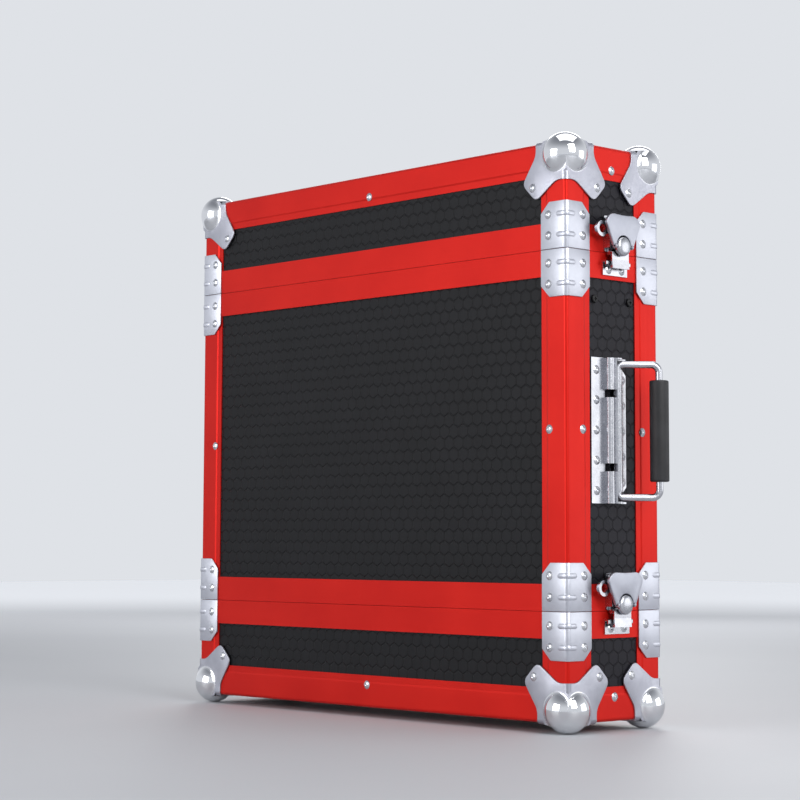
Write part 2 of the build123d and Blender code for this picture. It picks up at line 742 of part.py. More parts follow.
with BuildPart() as drum:
    with BuildSketch(LATCH.offset(FIT)):
        with Locations((0, DRUM_Z)):
            Circle(DRUM_FOOT_RADIUS)
    extrude(amount=SLIDE_LIFT + SLIDE_THICK - FIT)
    with BuildSketch(LATCH.offset(SLIDE_LIFT)):
        with Locations((0, DRUM_Z + CAM_OFFSET)):
            Circle(CAM_RADIUS)
    extrude(amount=SLIDE_THICK)
    with BuildSketch(LATCH.offset(SLIDE_LIFT + SLIDE_THICK)):
        with Locations((0, DRUM_Z)):
            Circle(DRUM_NECK_RADIUS)
    extrude(amount=DRUM_UNDERSIDE - SLIDE_LIFT - SLIDE_THICK)
    with BuildSketch(LATCH.offset(DRUM_UNDERSIDE)):
        with Locations((0, DRUM_Z)):
            Circle(DRUM_RADIUS)
    extrude(amount=DRUM_TOP - DRUM_UNDERSIDE)
    fillet(drum.edges().filter_by(GeomType.CIRCLE).sort_by(Axis.X)[-1], DRUM_EDGE)
    with Locations(Location((HALF_W + WING_PIVOT_LIFT, LATCH_Y, FRONT_SEAM + DRUM_Z), (90, 0, 0))):
        Cylinder(WING_PIN_RADIUS, 2 * (DRUM_RADIUS + WING_GAP + WING_BOSS_WIDTH))
four_ways(drum.part, "drum")

window_half = CAM_RADIUS + CAM_OFFSET + SLIDE_CLEARANCE
window_tall = 2 * (CAM_RADIUS + CAM_PLAY)
window_z = DRUM_Z + CAM_OFFSET
with BuildPart() as slide:
    with BuildSketch(LATCH.offset(SLIDE_LIFT)):
        bottom = HOOK_PIN_Z
        upper = window_z + window_tall / 2 + SLIDE_BAR
        with Locations((0, (bottom + upper) / 2)):
            Rectangle(2 * EAR_HALF, upper - bottom)
        with Locations((0, window_z)):
            Rectangle(2 * window_half, window_tall, mode=Mode.SUBTRACT)
        with Locations((0, HOOK_PIN_Z)):
            Rectangle(2 * (KNUCKLE_HALF + EAR_GAP), 2 * (KNUCKLE_RADIUS + EAR_GAP), mode=Mode.SUBTRACT)
    extrude(amount=SLIDE_THICK)
    for s in SIDES:
        ear_middle = LATCH_Y + s * (EAR_HALF + KNUCKLE_HALF + EAR_GAP) / 2
        with Locations(Location((HALF_W + HOOK_PIN_LIFT, ear_middle, FRONT_SEAM + HOOK_PIN_Z), (90, 0, 0))):
            Cylinder(KNUCKLE_RADIUS, EAR_HALF - KNUCKLE_HALF - EAR_GAP)
    with Locations(Location((HALF_W + HOOK_PIN_LIFT, LATCH_Y, FRONT_SEAM + HOOK_PIN_Z), (90, 0, 0))):
        Cylinder(HOOK_PIN_RADIUS, 2 * EAR_HALF)
four_ways(slide.part, "slide")


def side_plane(near):
    """A plane square to Y whose local X runs off the face and local Y up from the seam."""
    return Plane(origin=(HALF_W, LATCH_Y + near, FRONT_SEAM), x_dir=(1, 0, 0), z_dir=(0, -1, 0))


with BuildPart() as hook:
    # The bent strip: a neck from the knuckle to the knee, then down past the keeper's lip
    knee_z, knee_lift = HOOK_KNEE
    end_z, end_lift = HOOK_END
    half_strip = HOOK_THICK / 2
    with BuildSketch(side_plane(HOOK_HALF)):
        with BuildLine():
            Polyline(
                (knee_lift - half_strip, knee_z - half_strip),
                (end_lift - half_strip, end_z + HOOK_TOE),
                (end_lift - half_strip - HOOK_TOE, end_z + HOOK_TOE),
                (end_lift - half_strip - HOOK_TOE, end_z - half_strip),
                (end_lift + half_strip, end_z - half_strip),
                (knee_lift + half_strip, knee_z),
                (knee_lift - half_strip / 2, knee_z + half_strip),
                close=True,
            )
        make_face()
        # The back of the hook, which reaches up under the drum
        with Locations((knee_lift, (knee_z + HOOK_COVER) / 2)):
            Rectangle(HOOK_THICK, HOOK_COVER - knee_z)
    extrude(amount=2 * HOOK_HALF)
    with BuildSketch(side_plane(KNUCKLE_HALF)):
        with Locations((HOOK_PIN_LIFT, HOOK_PIN_Z)):
            Circle(KNUCKLE_RADIUS)
        with BuildLine():
            Polyline(
                (HOOK_PIN_LIFT, HOOK_PIN_Z - KNUCKLE_RADIUS / 2),
                (knee_lift - half_strip, knee_z - half_strip),
                (knee_lift - half_strip / 2, knee_z + half_strip),
                (HOOK_PIN_LIFT + KNUCKLE_RADIUS / 2, HOOK_PIN_Z),
                close=True,
            )
        make_face()
        with Locations((HOOK_PIN_LIFT, HOOK_PIN_Z)):
            Circle(HOOK_PIN_RADIUS + PIN_CLEARANCE, mode=Mode.SUBTRACT)
    extrude(amount=2 * KNUCKLE_HALF)
four_ways(hook.part, "hook")

with BuildPart() as wing:
    arm_inner = DRUM_RADIUS + WING_GAP
    lobe_y, lobe_z = WING_LOBE
    rim_plane = LATCH.offset(WING_PIVOT_LIFT - WING_THICK / 2 - WING_RIM_DROP)
    with BuildSketch(rim_plane) as wing_face:
        with BuildLine():
            FilletPolyline(
                (-WING_NECK, DRUM_Z),
                (-lobe_y, lobe_z),
                (-WING_TOP_HALF, WING_TOP),
                (0, WING_TOP - WING_HOLLOW),
                (WING_TOP_HALF, WING_TOP),
                (lobe_y, lobe_z),
                (WING_NECK, DRUM_Z),
                radius=WING_ROUND,
            )
            Line((WING_NECK, DRUM_Z), (-WING_NECK, DRUM_Z))
        make_face()
        with Locations((0, DRUM_Z)):
            Circle(arm_inner, mode=Mode.SUBTRACT)
    extrude(amount=WING_THICK + WING_RIM_DROP)
    with BuildSketch(rim_plane):
        offset(wing_face.sketch_local, amount=-WING_RIM_WIDTH, kind=Kind.INTERSECTION)
    extrude(amount=WING_RIM_DROP, mode=Mode.SUBTRACT)
    for s in SIDES:
        boss_middle = LATCH_Y + s * (arm_inner + WING_BOSS_WIDTH / 2)
        with Locations(Location((HALF_W + WING_PIVOT_LIFT, boss_middle, FRONT_SEAM + DRUM_Z), (90, 0, 0))):
            Cylinder(WING_BOSS_RADIUS, WING_BOSS_WIDTH)
    with Locations(Location((HALF_W + WING_PIVOT_LIFT, LATCH_Y, FRONT_SEAM + DRUM_Z), (90, 0, 0))):
        Cylinder(WING_PIN_RADIUS + PIN_CLEARANCE, 4 * DRUM_RADIUS, mode=Mode.SUBTRACT)
four_ways(wing.part, "wing")

with BuildPart() as keeper:
    lip_inner = KEEPER_LIP_LIFT - KEEPER_THICK
    curl = KEEPER_THICK / 3
    with BuildSketch(side_plane(KEEPER_HALF)):
        with BuildLine():
            FilletPolyline(
                (0, KEEPER_TOP),
                (KEEPER_LIP_LIFT, KEEPER_TOP),
                (KEEPER_LIP_LIFT, KEEPER_TOP - KEEPER_LIP_DROP),
                (lip_inner, KEEPER_TOP - KEEPER_LIP_DROP),
                (lip_inner, KEEPER_TOP - KEEPER_THICK),
                (KEEPER_THICK, KEEPER_TOP - KEEPER_THICK),
                (KEEPER_THICK, KEEPER_BOTTOM),
                (0, KEEPER_BOTTOM),
                radius=(0, KEEPER_THICK, curl, curl, curl, curl, 0, 0),
                close=True,
            )
        make_face()
    extrude(amount=2 * KEEPER_HALF)
    with BuildSketch(LATCH):
        with Locations(*KEEPER_SPOTS):
            Circle(RIVET_SHANK_RADIUS + RIVET_HOLE_CLEARANCE)
    extrude(amount=KEEPER_THICK, mode=Mode.SUBTRACT)
side_pair(keeper.part, 0, "front_keepers")
side_pair(keeper.part, BODY_DEPTH, "rear_keepers")

with BuildPart() as body_latch_rivets:
    set_rivets(side_places(KEEPER_SPOTS, FRONT_SEAM, KEEPER_THICK), KEEPER_THICK + INNER_FACE)
    set_rivets(side_places(BASE_RIVETS, REAR_SEAM, BASE_THICK), BASE_THICK + SLOT_FACE)
save(body_latch_rivets.part, "body_latch_rivets")

# Lids: every piece is made for the front lid and mirrored for the rear one

LID_WALL_BOTTOM = FRONT_SEAM + LID_WEB + FIT
LID_WALL_TOP = TOP - PANEL_EDGE
LID_BROAD = brace_places(FRONT_SEAM, 1, 0, True)
LID_NARROW = brace_places(FRONT_SEAM, 1, 0, False)
LID_BASES = side_places(BASE_RIVETS, FRONT_SEAM, 0)
REAR_LID_KEEPERS = side_places(KEEPER_SPOTS, REAR_SEAM, 0)

with BuildPart() as cover:
    with Locations((0, 0, TOP - SKIN - PANEL / 2)):
        Box(CASE_WIDTH - 2 * PANEL_EDGE, CASE_THICK - 2 * PANEL_EDGE, PANEL)
    drill(cover_edge_places("cover") + leaf_places("cover", 0))
save(cover.part, "front_lid_cover")
save(flipped(cover.part), "rear_lid_cover")

with BuildPart() as broad_walls:
    for side in SIDES:
        wall("Y", side, LID_WALL_BOTTOM, LID_WALL_TOP, PANEL_EDGE)
    drill(LID_BROAD + cover_edge_places("broad") + leaf_places("broad", 0))
save(broad_walls.part, "front_lid_broad_walls")
save(flipped(broad_walls.part), "rear_lid_broad_walls")

with BuildPart() as side_walls:
    for side in SIDES:
        wall("X", side, LID_WALL_BOTTOM, LID_WALL_TOP, PANEL_EDGE)
    drill(LID_NARROW + cover_edge_places("narrow") + leaf_places("narrow", 0))
with BuildPart() as front_side_walls:
    add(side_walls.part)
    drill(LID_BASES)
save(front_side_walls.part, "front_lid_side_walls")
with BuildPart() as rear_side_walls:
    add(flipped(side_walls.part))
    drill(REAR_LID_KEEPERS)
save(rear_side_walls.part, "rear_lid_side_walls")

with BuildPart() as lid_edges:
    run_x = CASE_WIDTH - 2 * BALL_RELIEF
    run_y = CASE_THICK - 2 * BALL_RELIEF
    double_angle(Plane(origin=(run_x / 2, -HALF_T, TOP), x_dir=(0, 1, 0), z_dir=(-1, 0, 0)), run_x)
    trim((HALF_W, -HALF_T, TOP), (-1, -1, 0), (-1, 0, 1))
    trim((-HALF_W, -HALF_T, TOP), (1, -1, 0), (1, 0, 1))
    mirror(about=Plane.XZ)
    broad_runs = lid_edges.part
with BuildPart() as lid_ends:
    double_angle(Plane(origin=(-HALF_W, -run_y / 2, TOP), x_dir=(1, 0, 0), z_dir=(0, 1, 0)), run_y)
    trim((-HALF_W, -HALF_T, TOP), (-1, 1, 0), (0, 1, 1))
    trim((-HALF_W, HALF_T, TOP), (-1, -1, 0), (0, -1, 1))
    mirror(about=Plane.YZ)
with BuildPart() as lid_edge_extrusions:
    add(broad_runs)
    add(lid_ends.part)
    drill(cover_edge_places("cover") + cover_edge_places("broad") + cover_edge_places("narrow"))
save(lid_edge_extrusions.part, "front_lid_edge_extrusions")
save(flipped(lid_edge_extrusions.part), "rear_lid_edge_extrusions")

with BuildPart() as lid_uprights:
    foot = FRONT_SEAM + CLOSURE_LEG + FIT
    double_angle(Plane(origin=(-HALF_W, -HALF_T, foot)), TOP - BALL_RELIEF - foot)
    trim((-HALF_W, -HALF_T, TOP), (-1, 0, -1), (0, -1, -1))
    mirror_quarters()
    drill(LID_BROAD + LID_NARROW)
save(lid_uprights.part, "front_lid_corner_extrusions")
save(flipped(lid_uprights.part), "rear_lid_corner_extrusions")

with BuildPart() as lid_closure:
    lid_face = FRONT_SEAM + HALF_GAP
    closure_frame(FRONT_SEAM + CLOSURE_LEG, FRONT_SEAM + CLOSURE_INNER, FRONT_SEAM + LID_WEB, lid_face)
    with BuildSketch(Plane.XY.offset(lid_face)):
        groove_outer = 2 * (TONGUE_INSET - GROOVE_SIDE)
        groove_inner = 2 * (TONGUE_INSET + TONGUE_THICK + GROOVE_SIDE)
        Rectangle(CASE_WIDTH - groove_outer, CASE_THICK - groove_outer)
        Rectangle(CASE_WIDTH - groove_inner, CASE_THICK - groove_inner, mode=Mode.SUBTRACT)
    extrude(amount=TONGUE_HEIGHT + GROOVE_END - HALF_GAP, mode=Mode.SUBTRACT)
    round_outside(lid_closure)
    mitre_corners(FRONT_SEAM)
    drill(LID_BROAD + LID_NARROW)
with BuildPart() as front_lid_closure:
    add(lid_closure.part)
    drill(LID_BASES)
save(front_lid_closure.part, "front_lid_closure_frame")
with BuildPart() as rear_lid_closure:
    add(flipped(lid_closure.part))
    drill(REAR_LID_KEEPERS)
save(rear_lid_closure.part, "rear_lid_closure_frame")

lid_braces = corner_braces(FRONT_SEAM, 1)
save(lid_braces, "front_lid_corner_braces")
save(flipped(lid_braces), "rear_lid_corner_braces")

with BuildPart() as foam:
    foam_inset = 2 * (LIP_REACH + FOAM_GAP)
    with Locations((0, 0, TOP - SLOT_FACE - FOAM_THICK / 2)):
        Box(CASE_WIDTH - foam_inset, CASE_THICK - foam_inset, FOAM_THICK)
save(foam.part, "front_lid_foam")
save(flipped(foam.part), "rear_lid_foam")

# Ball corner, made with the envelope's corner at the origin and the case beyond it

def corner_edges(part):
    """The three edges that meet at the envelope's corner."""
    return part.edges().filter_by(lambda e: sum(abs(v) < 0.01 for v in tuple(e.center())) == 2)


with BuildPart() as outer_block:
    Box(2 * LEAF_TIP, 2 * LEAF_TIP, 2 * LEAF_TIP, align=Align.MIN)
    fillet(corner_edges(outer_block), BEND + LEAF_THICK)
with BuildPart() as inner_block:
    Box(2 * LEAF_TIP, 2 * LEAF_TIP, 2 * LEAF_TIP, align=Align.MIN)
    fillet(corner_edges(inner_block), BEND)

ball_inset = BALL_RADIUS - BALL_OUT
ball_centre = (ball_inset, ball_inset, ball_inset)
leaf_wrap = -LEAF_THICK

# The concave skirt between a leaf and the ball, turned about the leaf's normal
reach = BALL_RADIUS + SKIRT_RADIUS - SKIRT_SINK
arc_height = LEAF_THICK + SKIRT_RADIUS - SKIRT_SINK
arc_out = sqrt(reach**2 - (arc_height + ball_inset) ** 2)
meet_out = arc_out * (1 - SKIRT_RADIUS / reach)
meet_height = arc_height - (arc_height + ball_inset) * SKIRT_RADIUS / reach
bisect_x = -arc_out / reach
bisect_z = -1 - (arc_height + ball_inset) / reach
bisect = sqrt(bisect_x**2 + bisect_z**2)
mid_out = arc_out + SKIRT_RADIUS * bisect_x / bisect
mid_height = arc_height + SKIRT_RADIUS * bisect_z / bisect

with BuildPart() as skirt:
    with BuildSketch(Plane(origin=(ball_inset, ball_inset, 0), x_dir=(1, 0, 0), z_dir=(0, 1, 0))):
        with BuildLine():
            ThreePointArc(
                (arc_out, arc_height - SKIRT_RADIUS), (mid_out, mid_height), (meet_out, meet_height)
            )
            Polyline(
                (meet_out, meet_height),
                (ball_inset, meet_height),
                (ball_inset, LEAF_THICK / 2),
                (arc_out, LEAF_THICK / 2),
                (arc_out, arc_height - SKIRT_RADIUS),
            )
        make_face()
    revolve(axis=Axis((ball_inset, ball_inset, 0), (0, 0, 1)))
    split(bisect_by=Plane(origin=(0, 0, 0), z_dir=(1, 0, -1)), keep=Keep.TOP)
    split(bisect_by=Plane(origin=(0, 0, 0), z_dir=(0, 1, -1)), keep=Keep.TOP)

with BuildPart() as ball_corner:
    for face_plane in (Plane.XY, Plane.YZ, Plane.ZX):
        with BuildSketch(face_plane.offset(-LEAF_THICK)):
            with BuildLine():
                FilletPolyline(
                    (leaf_wrap, leaf_wrap),
                    (leaf_wrap, LEAF_ROOT),
                    (LEAF_SHOULDER, LEAF_ROOT),
                    (LEAF_ROOT, LEAF_TIP),
                    (LEAF_TIP, LEAF_ROOT),
                    (LEAF_ROOT, LEAF_SHOULDER),
                    (LEAF_ROOT, leaf_wrap),
                    radius=(0, 0, LEAF_TIP_RADIUS, LEAF_TIP_RADIUS, LEAF_TIP_RADIUS, LEAF_TIP_RADIUS, 0),
                    close=True,
                )
            make_face()
        extrude(amount=LEAF_THICK)
    add(Pos(leaf_wrap, leaf_wrap, leaf_wrap) * outer_block.part, mode=Mode.INTERSECT)
    with Locations(ball_centre):
        Sphere(BALL_RADIUS)
    add(skirt.part)
    add(skirt.part.rotate(Axis((0, 0, 0), (1, 1, 1)), 120))
    add(skirt.part.rotate(Axis((0, 0, 0), (1, 1, 1)), 240))
    with Locations(ball_centre):
        Sphere(BALL_RADIUS - BALL_WALL, mode=Mode.SUBTRACT)
    add(inner_block.part, mode=Mode.SUBTRACT)
    hole = RIVET_SHANK_RADIUS + RIVET_HOLE_CLEARANCE
    for normal, spot in (
        ((0, 0, 1), (LEAF_RIVET, LEAF_RIVET, 0)),
        ((1, 0, 0), (0, LEAF_RIVET, LEAF_RIVET)),
        ((0, 1, 0), (LEAF_RIVET, 0, LEAF_RIVET)),
    ):
        with Locations(Plane(origin=spot, z_dir=normal).location):
            Cylinder(hole, 4 * LEAF_THICK, mode=Mode.SUBTRACT)

with BuildPart() as rear_ball_corners:
    add(ball_corner.part.moved(Location((-HALF_W, -HALF_T, BALL_OUT))))
    mirror_quarters()
save(rear_ball_corners.part, "rear_lid_ball_corners")
save(flipped(rear_ball_corners.part), "front_lid_ball_corners")

with BuildPart() as lid_rivets:
    set_rivets(brace_places(FRONT_SEAM, 1, BRACE_THICK, True), BRACE_THICK + INNER_FACE)
    set_rivets(brace_places(FRONT_SEAM, 1, BRACE_THICK, False), BRACE_THICK + INNER_FACE)
    for face_name in ("cover", "broad", "narrow"):
        set_rivets(cover_edge_places(face_name), INNER_FACE)
        set_rivets(leaf_places(face_name, LEAF_THICK), LEAF_THICK + SLOT_FACE)
with BuildPart() as front_lid_rivets:
    add(lid_rivets.part)
    set_rivets(side_places(BASE_RIVETS, FRONT_SEAM, BASE_THICK), BASE_THICK + SLOT_FACE)
save(front_lid_rivets.part, "front_lid_rivets")
with BuildPart() as rear_lid_rivets:
    add(flipped(lid_rivets.part))
    set_rivets(side_places(KEEPER_SPOTS, REAR_SEAM, KEEPER_THICK), KEEPER_THICK + INNER_FACE)
save(rear_lid_rivets.part, "rear_lid_rivets")
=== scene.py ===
import math

import bmesh
import bpy
from mathutils import Matrix, Vector


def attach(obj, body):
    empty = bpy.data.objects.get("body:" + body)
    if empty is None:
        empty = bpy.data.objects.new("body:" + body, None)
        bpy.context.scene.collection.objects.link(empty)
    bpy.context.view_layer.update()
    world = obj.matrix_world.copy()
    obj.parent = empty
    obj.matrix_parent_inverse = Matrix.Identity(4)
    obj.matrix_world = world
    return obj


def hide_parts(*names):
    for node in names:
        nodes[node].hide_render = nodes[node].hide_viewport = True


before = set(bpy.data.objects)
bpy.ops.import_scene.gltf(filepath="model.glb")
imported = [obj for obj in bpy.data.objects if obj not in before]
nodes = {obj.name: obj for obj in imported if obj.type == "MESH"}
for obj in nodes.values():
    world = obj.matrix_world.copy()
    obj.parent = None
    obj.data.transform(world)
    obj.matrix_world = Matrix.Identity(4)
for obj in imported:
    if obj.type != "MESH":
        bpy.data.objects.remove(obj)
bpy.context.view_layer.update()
MM = 0.001

# How near two points or two levels have to be to count as one, in metres

SAME = 0.01 * MM
LEVEL = 0.1 * MM

# Sizes of the case in millimetres, as the model has them, standing on its rear lid

HALF_WIDTH, HALF_THICK = 257.5, 60.0
BOTTOM, MIDDLE, TOP = 9.0, 262.0, 515.0
SEAMS = {"front": 419.5, "rear": 104.5}
SIDES = (1, -1)
CORNERS = [(sx, sy) for sx in SIDES for sy in SIDES]
SHEET = 1.5
BEND = 2.9
BALL_INSET, BALL_RADIUS = 11.0, 20.0

# Rivets, from the edge of the case or from a seam

EDGE_INSET = 21
LEAF_INSET = 39
BRACE_INSET = 20
BRACE_ROWS = (12.2, 30.7)
BASE_SPOTS = ((0.0, 20.5), (-7.5, 28.0), (7.5, 28.0))
KEEPER_SPOTS = ((-8.5, -15.0), (8.5, -15.0))
HANDLE_COLUMNS = ((-21.5, 26.5), (12.3, 22.6))

# Handles, and latches from the seam and off the side

PIVOT_OUT = 5.0
BAIL_TURN = math.radians(55)
ARM_LENGTH, ARM_HALF = 37.8, 58.6
LATCH_Y = 2.0
DRUM_Z, DRUM_RADIUS = 5.5, 8.7
WING_LIFT, WING_PIN_LIFT = 9.2, 11.5


# Shader helpers

def colour(hex_value):
    """An sRGB hex colour as the linear values that a shader takes."""
    channels = [int(hex_value[i:i + 2], 16) / 255 for i in (1, 3, 5)]
    linear = [c / 12.92 if c <= 0.04045 else ((c + 0.055) / 1.055) ** 2.4 for c in channels]
    return (*linear, 1.0)


def add_node(material, kind, inputs=None, out=0, into=None, **settings):
    """Add one shader node with its settings, set or link its inputs, link on and return one output."""
    tree = material.node_tree
    new = tree.nodes.new("ShaderNode" + kind)
    for name, value in settings.items():
        setattr(new, name, value)
    for name, value in (inputs or {}).items():
        if isinstance(value, bpy.types.NodeSocket):
            tree.links.new(value, new.inputs[name])
        else:
            new.inputs[name].default_value = value
    if into is not None:
        tree.links.new(new.outputs[out], into)
    return new.outputs[out]


def blank_material(name, **values):
    """A material with a plain shader on which the finish is then built."""
    material = bpy.data.materials.new(name)
    material.use_nodes = True
    shader = material.node_tree.nodes["Principled BSDF"]
    for socket, value in values.items():
        shader.inputs[socket.replace("_", " ").title().replace("Ior", "IOR")].default_value = value
    return material, shader


def object_mm(material):
    """The surface's place on the case, in millimetres."""
    in_mm = {0: add_node(material, "TexCoord", out="Object"), 1: (1000, 1000, 1000)}
    return add_node(material, "VectorMath", in_mm, operation="MULTIPLY")


def mottle(material, place, size_mm, detail=3.0, stretch=(1, 1, 1)):
    """Cloudy variation whose patches are about size_mm across."""
    scaling = {0: place, 1: tuple(s / size_mm for s in stretch)}
    scaled = add_node(material, "VectorMath", scaling, operation="MULTIPLY")
    return add_node(material, "TexNoise", {"Vector": scaled, "Scale": 1.0, "Detail": detail}, out="Fac")


# Materials: a Mix node takes its colours at inputs 6 and 7 and gives the colour at output 2

def hex_laminate(name, across, up, cell, groove):
    """Phenolic laminate pressed with pointed hexagons: a dull black skin with a soft sheen.

    across and up are the vectors that the rows and columns of hexagons follow.
    """
    pitch, groove_start, groove_end = 12.2, 1.1, 0.25
    material, shader = blank_material(name, roughness=0.5, specular_ior_level=0.18)
    place = object_mm(material)
    u = add_node(material, "VectorMath", {0: place, 1: across}, out="Value", operation="DOT_PRODUCT")
    v = add_node(material, "VectorMath", {0: place, 1: up}, out="Value", operation="DOT_PRODUCT")
    flat = add_node(material, "CombineXYZ", {0: u, 1: v, 2: 0.0})
    cell_size = (pitch, pitch * math.sqrt(3), 1.0)
    half = tuple(s / 2 for s in cell_size)
    slant = (0.5, math.sqrt(3) / 2, 0)
    distances = []
    for shift in ((0, 0, 0), half):
        moved = add_node(material, "VectorMath", {0: flat, 1: shift}, operation="SUBTRACT")
        wrapped = add_node(material, "VectorMath", {0: moved, 1: cell_size}, operation="MODULO")
        positive = add_node(material, "VectorMath", {0: wrapped, 1: cell_size}, operation="ADD")
        again = add_node(material, "VectorMath", {0: positive, 1: cell_size}, operation="MODULO")
        centred = add_node(material, "VectorMath", {0: again, 1: half}, operation="SUBTRACT")
        size = add_node(material, "VectorMath", {0: centred}, operation="ABSOLUTE")
        slanted = add_node(material, "VectorMath", {0: size, 1: slant}, out="Value", operation="DOT_PRODUCT")
        level = add_node(material, "SeparateXYZ", {0: size})
        distances.append(add_node(material, "Math", {0: level, 1: slanted}, operation="MAXIMUM"))
    nearest = add_node(material, "Math", {0: distances[0], 1: distances[1]}, operation="MINIMUM")
    edge = {
        "Value": nearest, "From Min": pitch / 2 - groove_start, "From Max": pitch / 2 - groove_end,
        "To Min": 1.0, "To Max": 0.0,
    }
    raised = add_node(material, "MapRange", edge, interpolation_type="SMOOTHSTEP")
    cloud = mottle(material, place, 55.0)
    grain = mottle(material, place, 0.7, detail=2.0)
    tints = {0: raised, 6: colour(groove), 7: colour(cell)}
    tinted = add_node(material, "Mix", tints, out=2, data_type="RGBA")
    patches = {"Value": cloud, "From Min": 0.35, "From Max": 0.65, "To Min": 0.86, "To Max": 1.12}
    toned = {0: tinted, "Scale": add_node(material, "MapRange", patches)}
    add_node(material, "VectorMath", toned, into=shader.inputs["Base Color"], operation="SCALE")
    rough = {"Value": grain, "From Min": 0.3, "From Max": 0.7, "To Min": 0.36, "To Max": 0.56}
    add_node(material, "MapRange", rough, into=shader.inputs["Roughness"])
    fine = add_node(material, "Math", {0: grain, 1: 0.10}, operation="MULTIPLY")
    height = add_node(material, "Math", {0: raised, 1: fine}, operation="ADD")
    add_node(material, "Bump", {"Height": height, "Distance": 0.35 * MM}, into=shader.inputs["Normal"])
    return material


def anodised_red(name, along):
    """Red anodised aluminium extrusion: satin, with faint drawing lines along its length."""
    material, shader = blank_material(name, metallic=0.5, specular_ior_level=0.25)
    place = object_mm(material)
    lines = mottle(material, place, 0.6, detail=2.0, stretch=tuple(0.002 if a else 1.0 for a in along))
    cloud = mottle(material, place, 70.0)
    patches = add_node(material, "MapRange", {"Value": cloud, "From Min": 0.3, "From Max": 0.7})
    tones = {0: patches, 6: colour("#c9150b"), 7: colour("#d41d11")}
    tone = add_node(material, "Mix", tones, out=2, data_type="RGBA")
    worn = {"Value": lines, "From Min": 0.62, "From Max": 0.8, "To Min": 0.0, "To Max": 0.25}
    toned = {0: add_node(material, "MapRange", worn), 6: tone, 7: colour("#df3a2c")}
    add_node(material, "Mix", toned, out=2, into=shader.inputs["Base Color"], data_type="RGBA")
    rough = {"Value": lines, "From Min": 0.3, "From Max": 0.7, "To Min": 0.34, "To Max": 0.46}
    add_node(material, "MapRange", rough, into=shader.inputs["Roughness"])
    add_node(material, "Bump", {"Height": lines, "Distance": 0.02 * MM}, into=shader.inputs["Normal"])
    return material


def plated_steel(name, shade, dark, roughness, spread, brushed_mm=1.2):
    """Zinc or nickel plate on pressed steel: pale metal with soft, cloudy brightness."""
    material, shader = blank_material(name, metallic=1.0, roughness=roughness)
    place = object_mm(material)
    cloud = mottle(material, place, 9.0, detail=4.0)
    fine = mottle(material, place, brushed_mm, detail=2.0)
    patches = add_node(material, "MapRange", {"Value": cloud, "From Min": 0.3, "From Max": 0.7})
    toned = {0: patches, 6: colour(dark), 7: colour(shade)}
    add_node(material, "Mix", toned, out=2, into=shader.inputs["Base Color"], data_type="RGBA")
    low, high = roughness - spread, roughness + spread
    rough = {"Value": fine, "From Min": 0.3, "From Max": 0.7, "To Min": low, "To Max": high}
    add_node(material, "MapRange", rough, into=shader.inputs["Roughness"])
    add_node(material, "Bump", {"Height": fine, "Distance": 0.008 * MM}, into=shader.inputs["Normal"])
    return material


def ball_corner_plate(name):
    """Pressed steel corner: the ball polished to a mirror, its leaves left satin."""
    material, shader = blank_material(name, metallic=1.0)
    place = object_mm(material)
    moved = add_node(material, "VectorMath", {0: place, 1: (0, 0, MIDDLE)}, operation="SUBTRACT")
    folded = add_node(material, "VectorMath", {0: moved}, operation="ABSOLUTE")
    centre = (HALF_WIDTH - BALL_INSET, HALF_THICK - BALL_INSET, TOP - MIDDLE - BALL_INSET)
    reach = add_node(material, "VectorMath", {0: folded, 1: centre}, out="Value", operation="DISTANCE")
    off_the_ball = {"Value": reach, "From Min": BALL_RADIUS + 0.3, "From Max": BALL_RADIUS + 1.4}
    satin = add_node(material, "MapRange", off_the_ball, interpolation_type="SMOOTHSTEP")
    fine = mottle(material, place, 1.5, detail=3.0)
    cloud = mottle(material, place, 12.0)
    patches = add_node(material, "MapRange", {"Value": cloud, "From Min": 0.3, "From Max": 0.7})
    tones = {0: patches, 6: colour("#a9aab4"), 7: colour("#b5b6bf")}
    leaf = add_node(material, "Mix", tones, out=2, data_type="RGBA")
    toned = {0: satin, 6: colour("#e6e7ea"), 7: leaf}
    add_node(material, "Mix", toned, out=2, into=shader.inputs["Base Color"], data_type="RGBA")
    rough = {"Value": fine, "From Min": 0.3, "From Max": 0.7, "To Min": 0.28, "To Max": 0.46}
    added = {0: satin, 1: add_node(material, "MapRange", rough), 2: 0.045}
    add_node(material, "Math", added, into=shader.inputs["Roughness"], operation="MULTIPLY_ADD")
    lift = add_node(material, "Math", {0: satin, 1: fine}, operation="MULTIPLY")
    add_node(material, "Bump", {"Height": lift, "Distance": 0.03 * MM}, into=shader.inputs["Normal"])
    return material


def moulded_rubber(name):
    """Black rubber sleeve: dull, finely pitted, with a faint grey bloom."""
    material, shader = blank_material(name, roughness=0.55)
    place = object_mm(material)
    pits = mottle(material, place, 0.8, detail=3.0)
    cloud = mottle(material, place, 18.0)
    bloom = add_node(material, "MapRange", {"Value": cloud, "From Min": 0.35, "From Max": 0.65})
    toned = {0: bloom, 6: colour("#141416"), 7: colour("#232326")}
    add_node(material, "Mix", toned, out=2, into=shader.inputs["Base Color"], data_type="RGBA")
    rough = {"Value": pits, "From Min": 0.3, "From Max": 0.7, "To Min": 0.45, "To Max": 0.62}
    add_node(material, "MapRange", rough, into=shader.inputs["Roughness"])
    add_node(material, "Bump", {"Height": pits, "Distance": 0.06 * MM}, into=shader.inputs["Normal"])
    return material


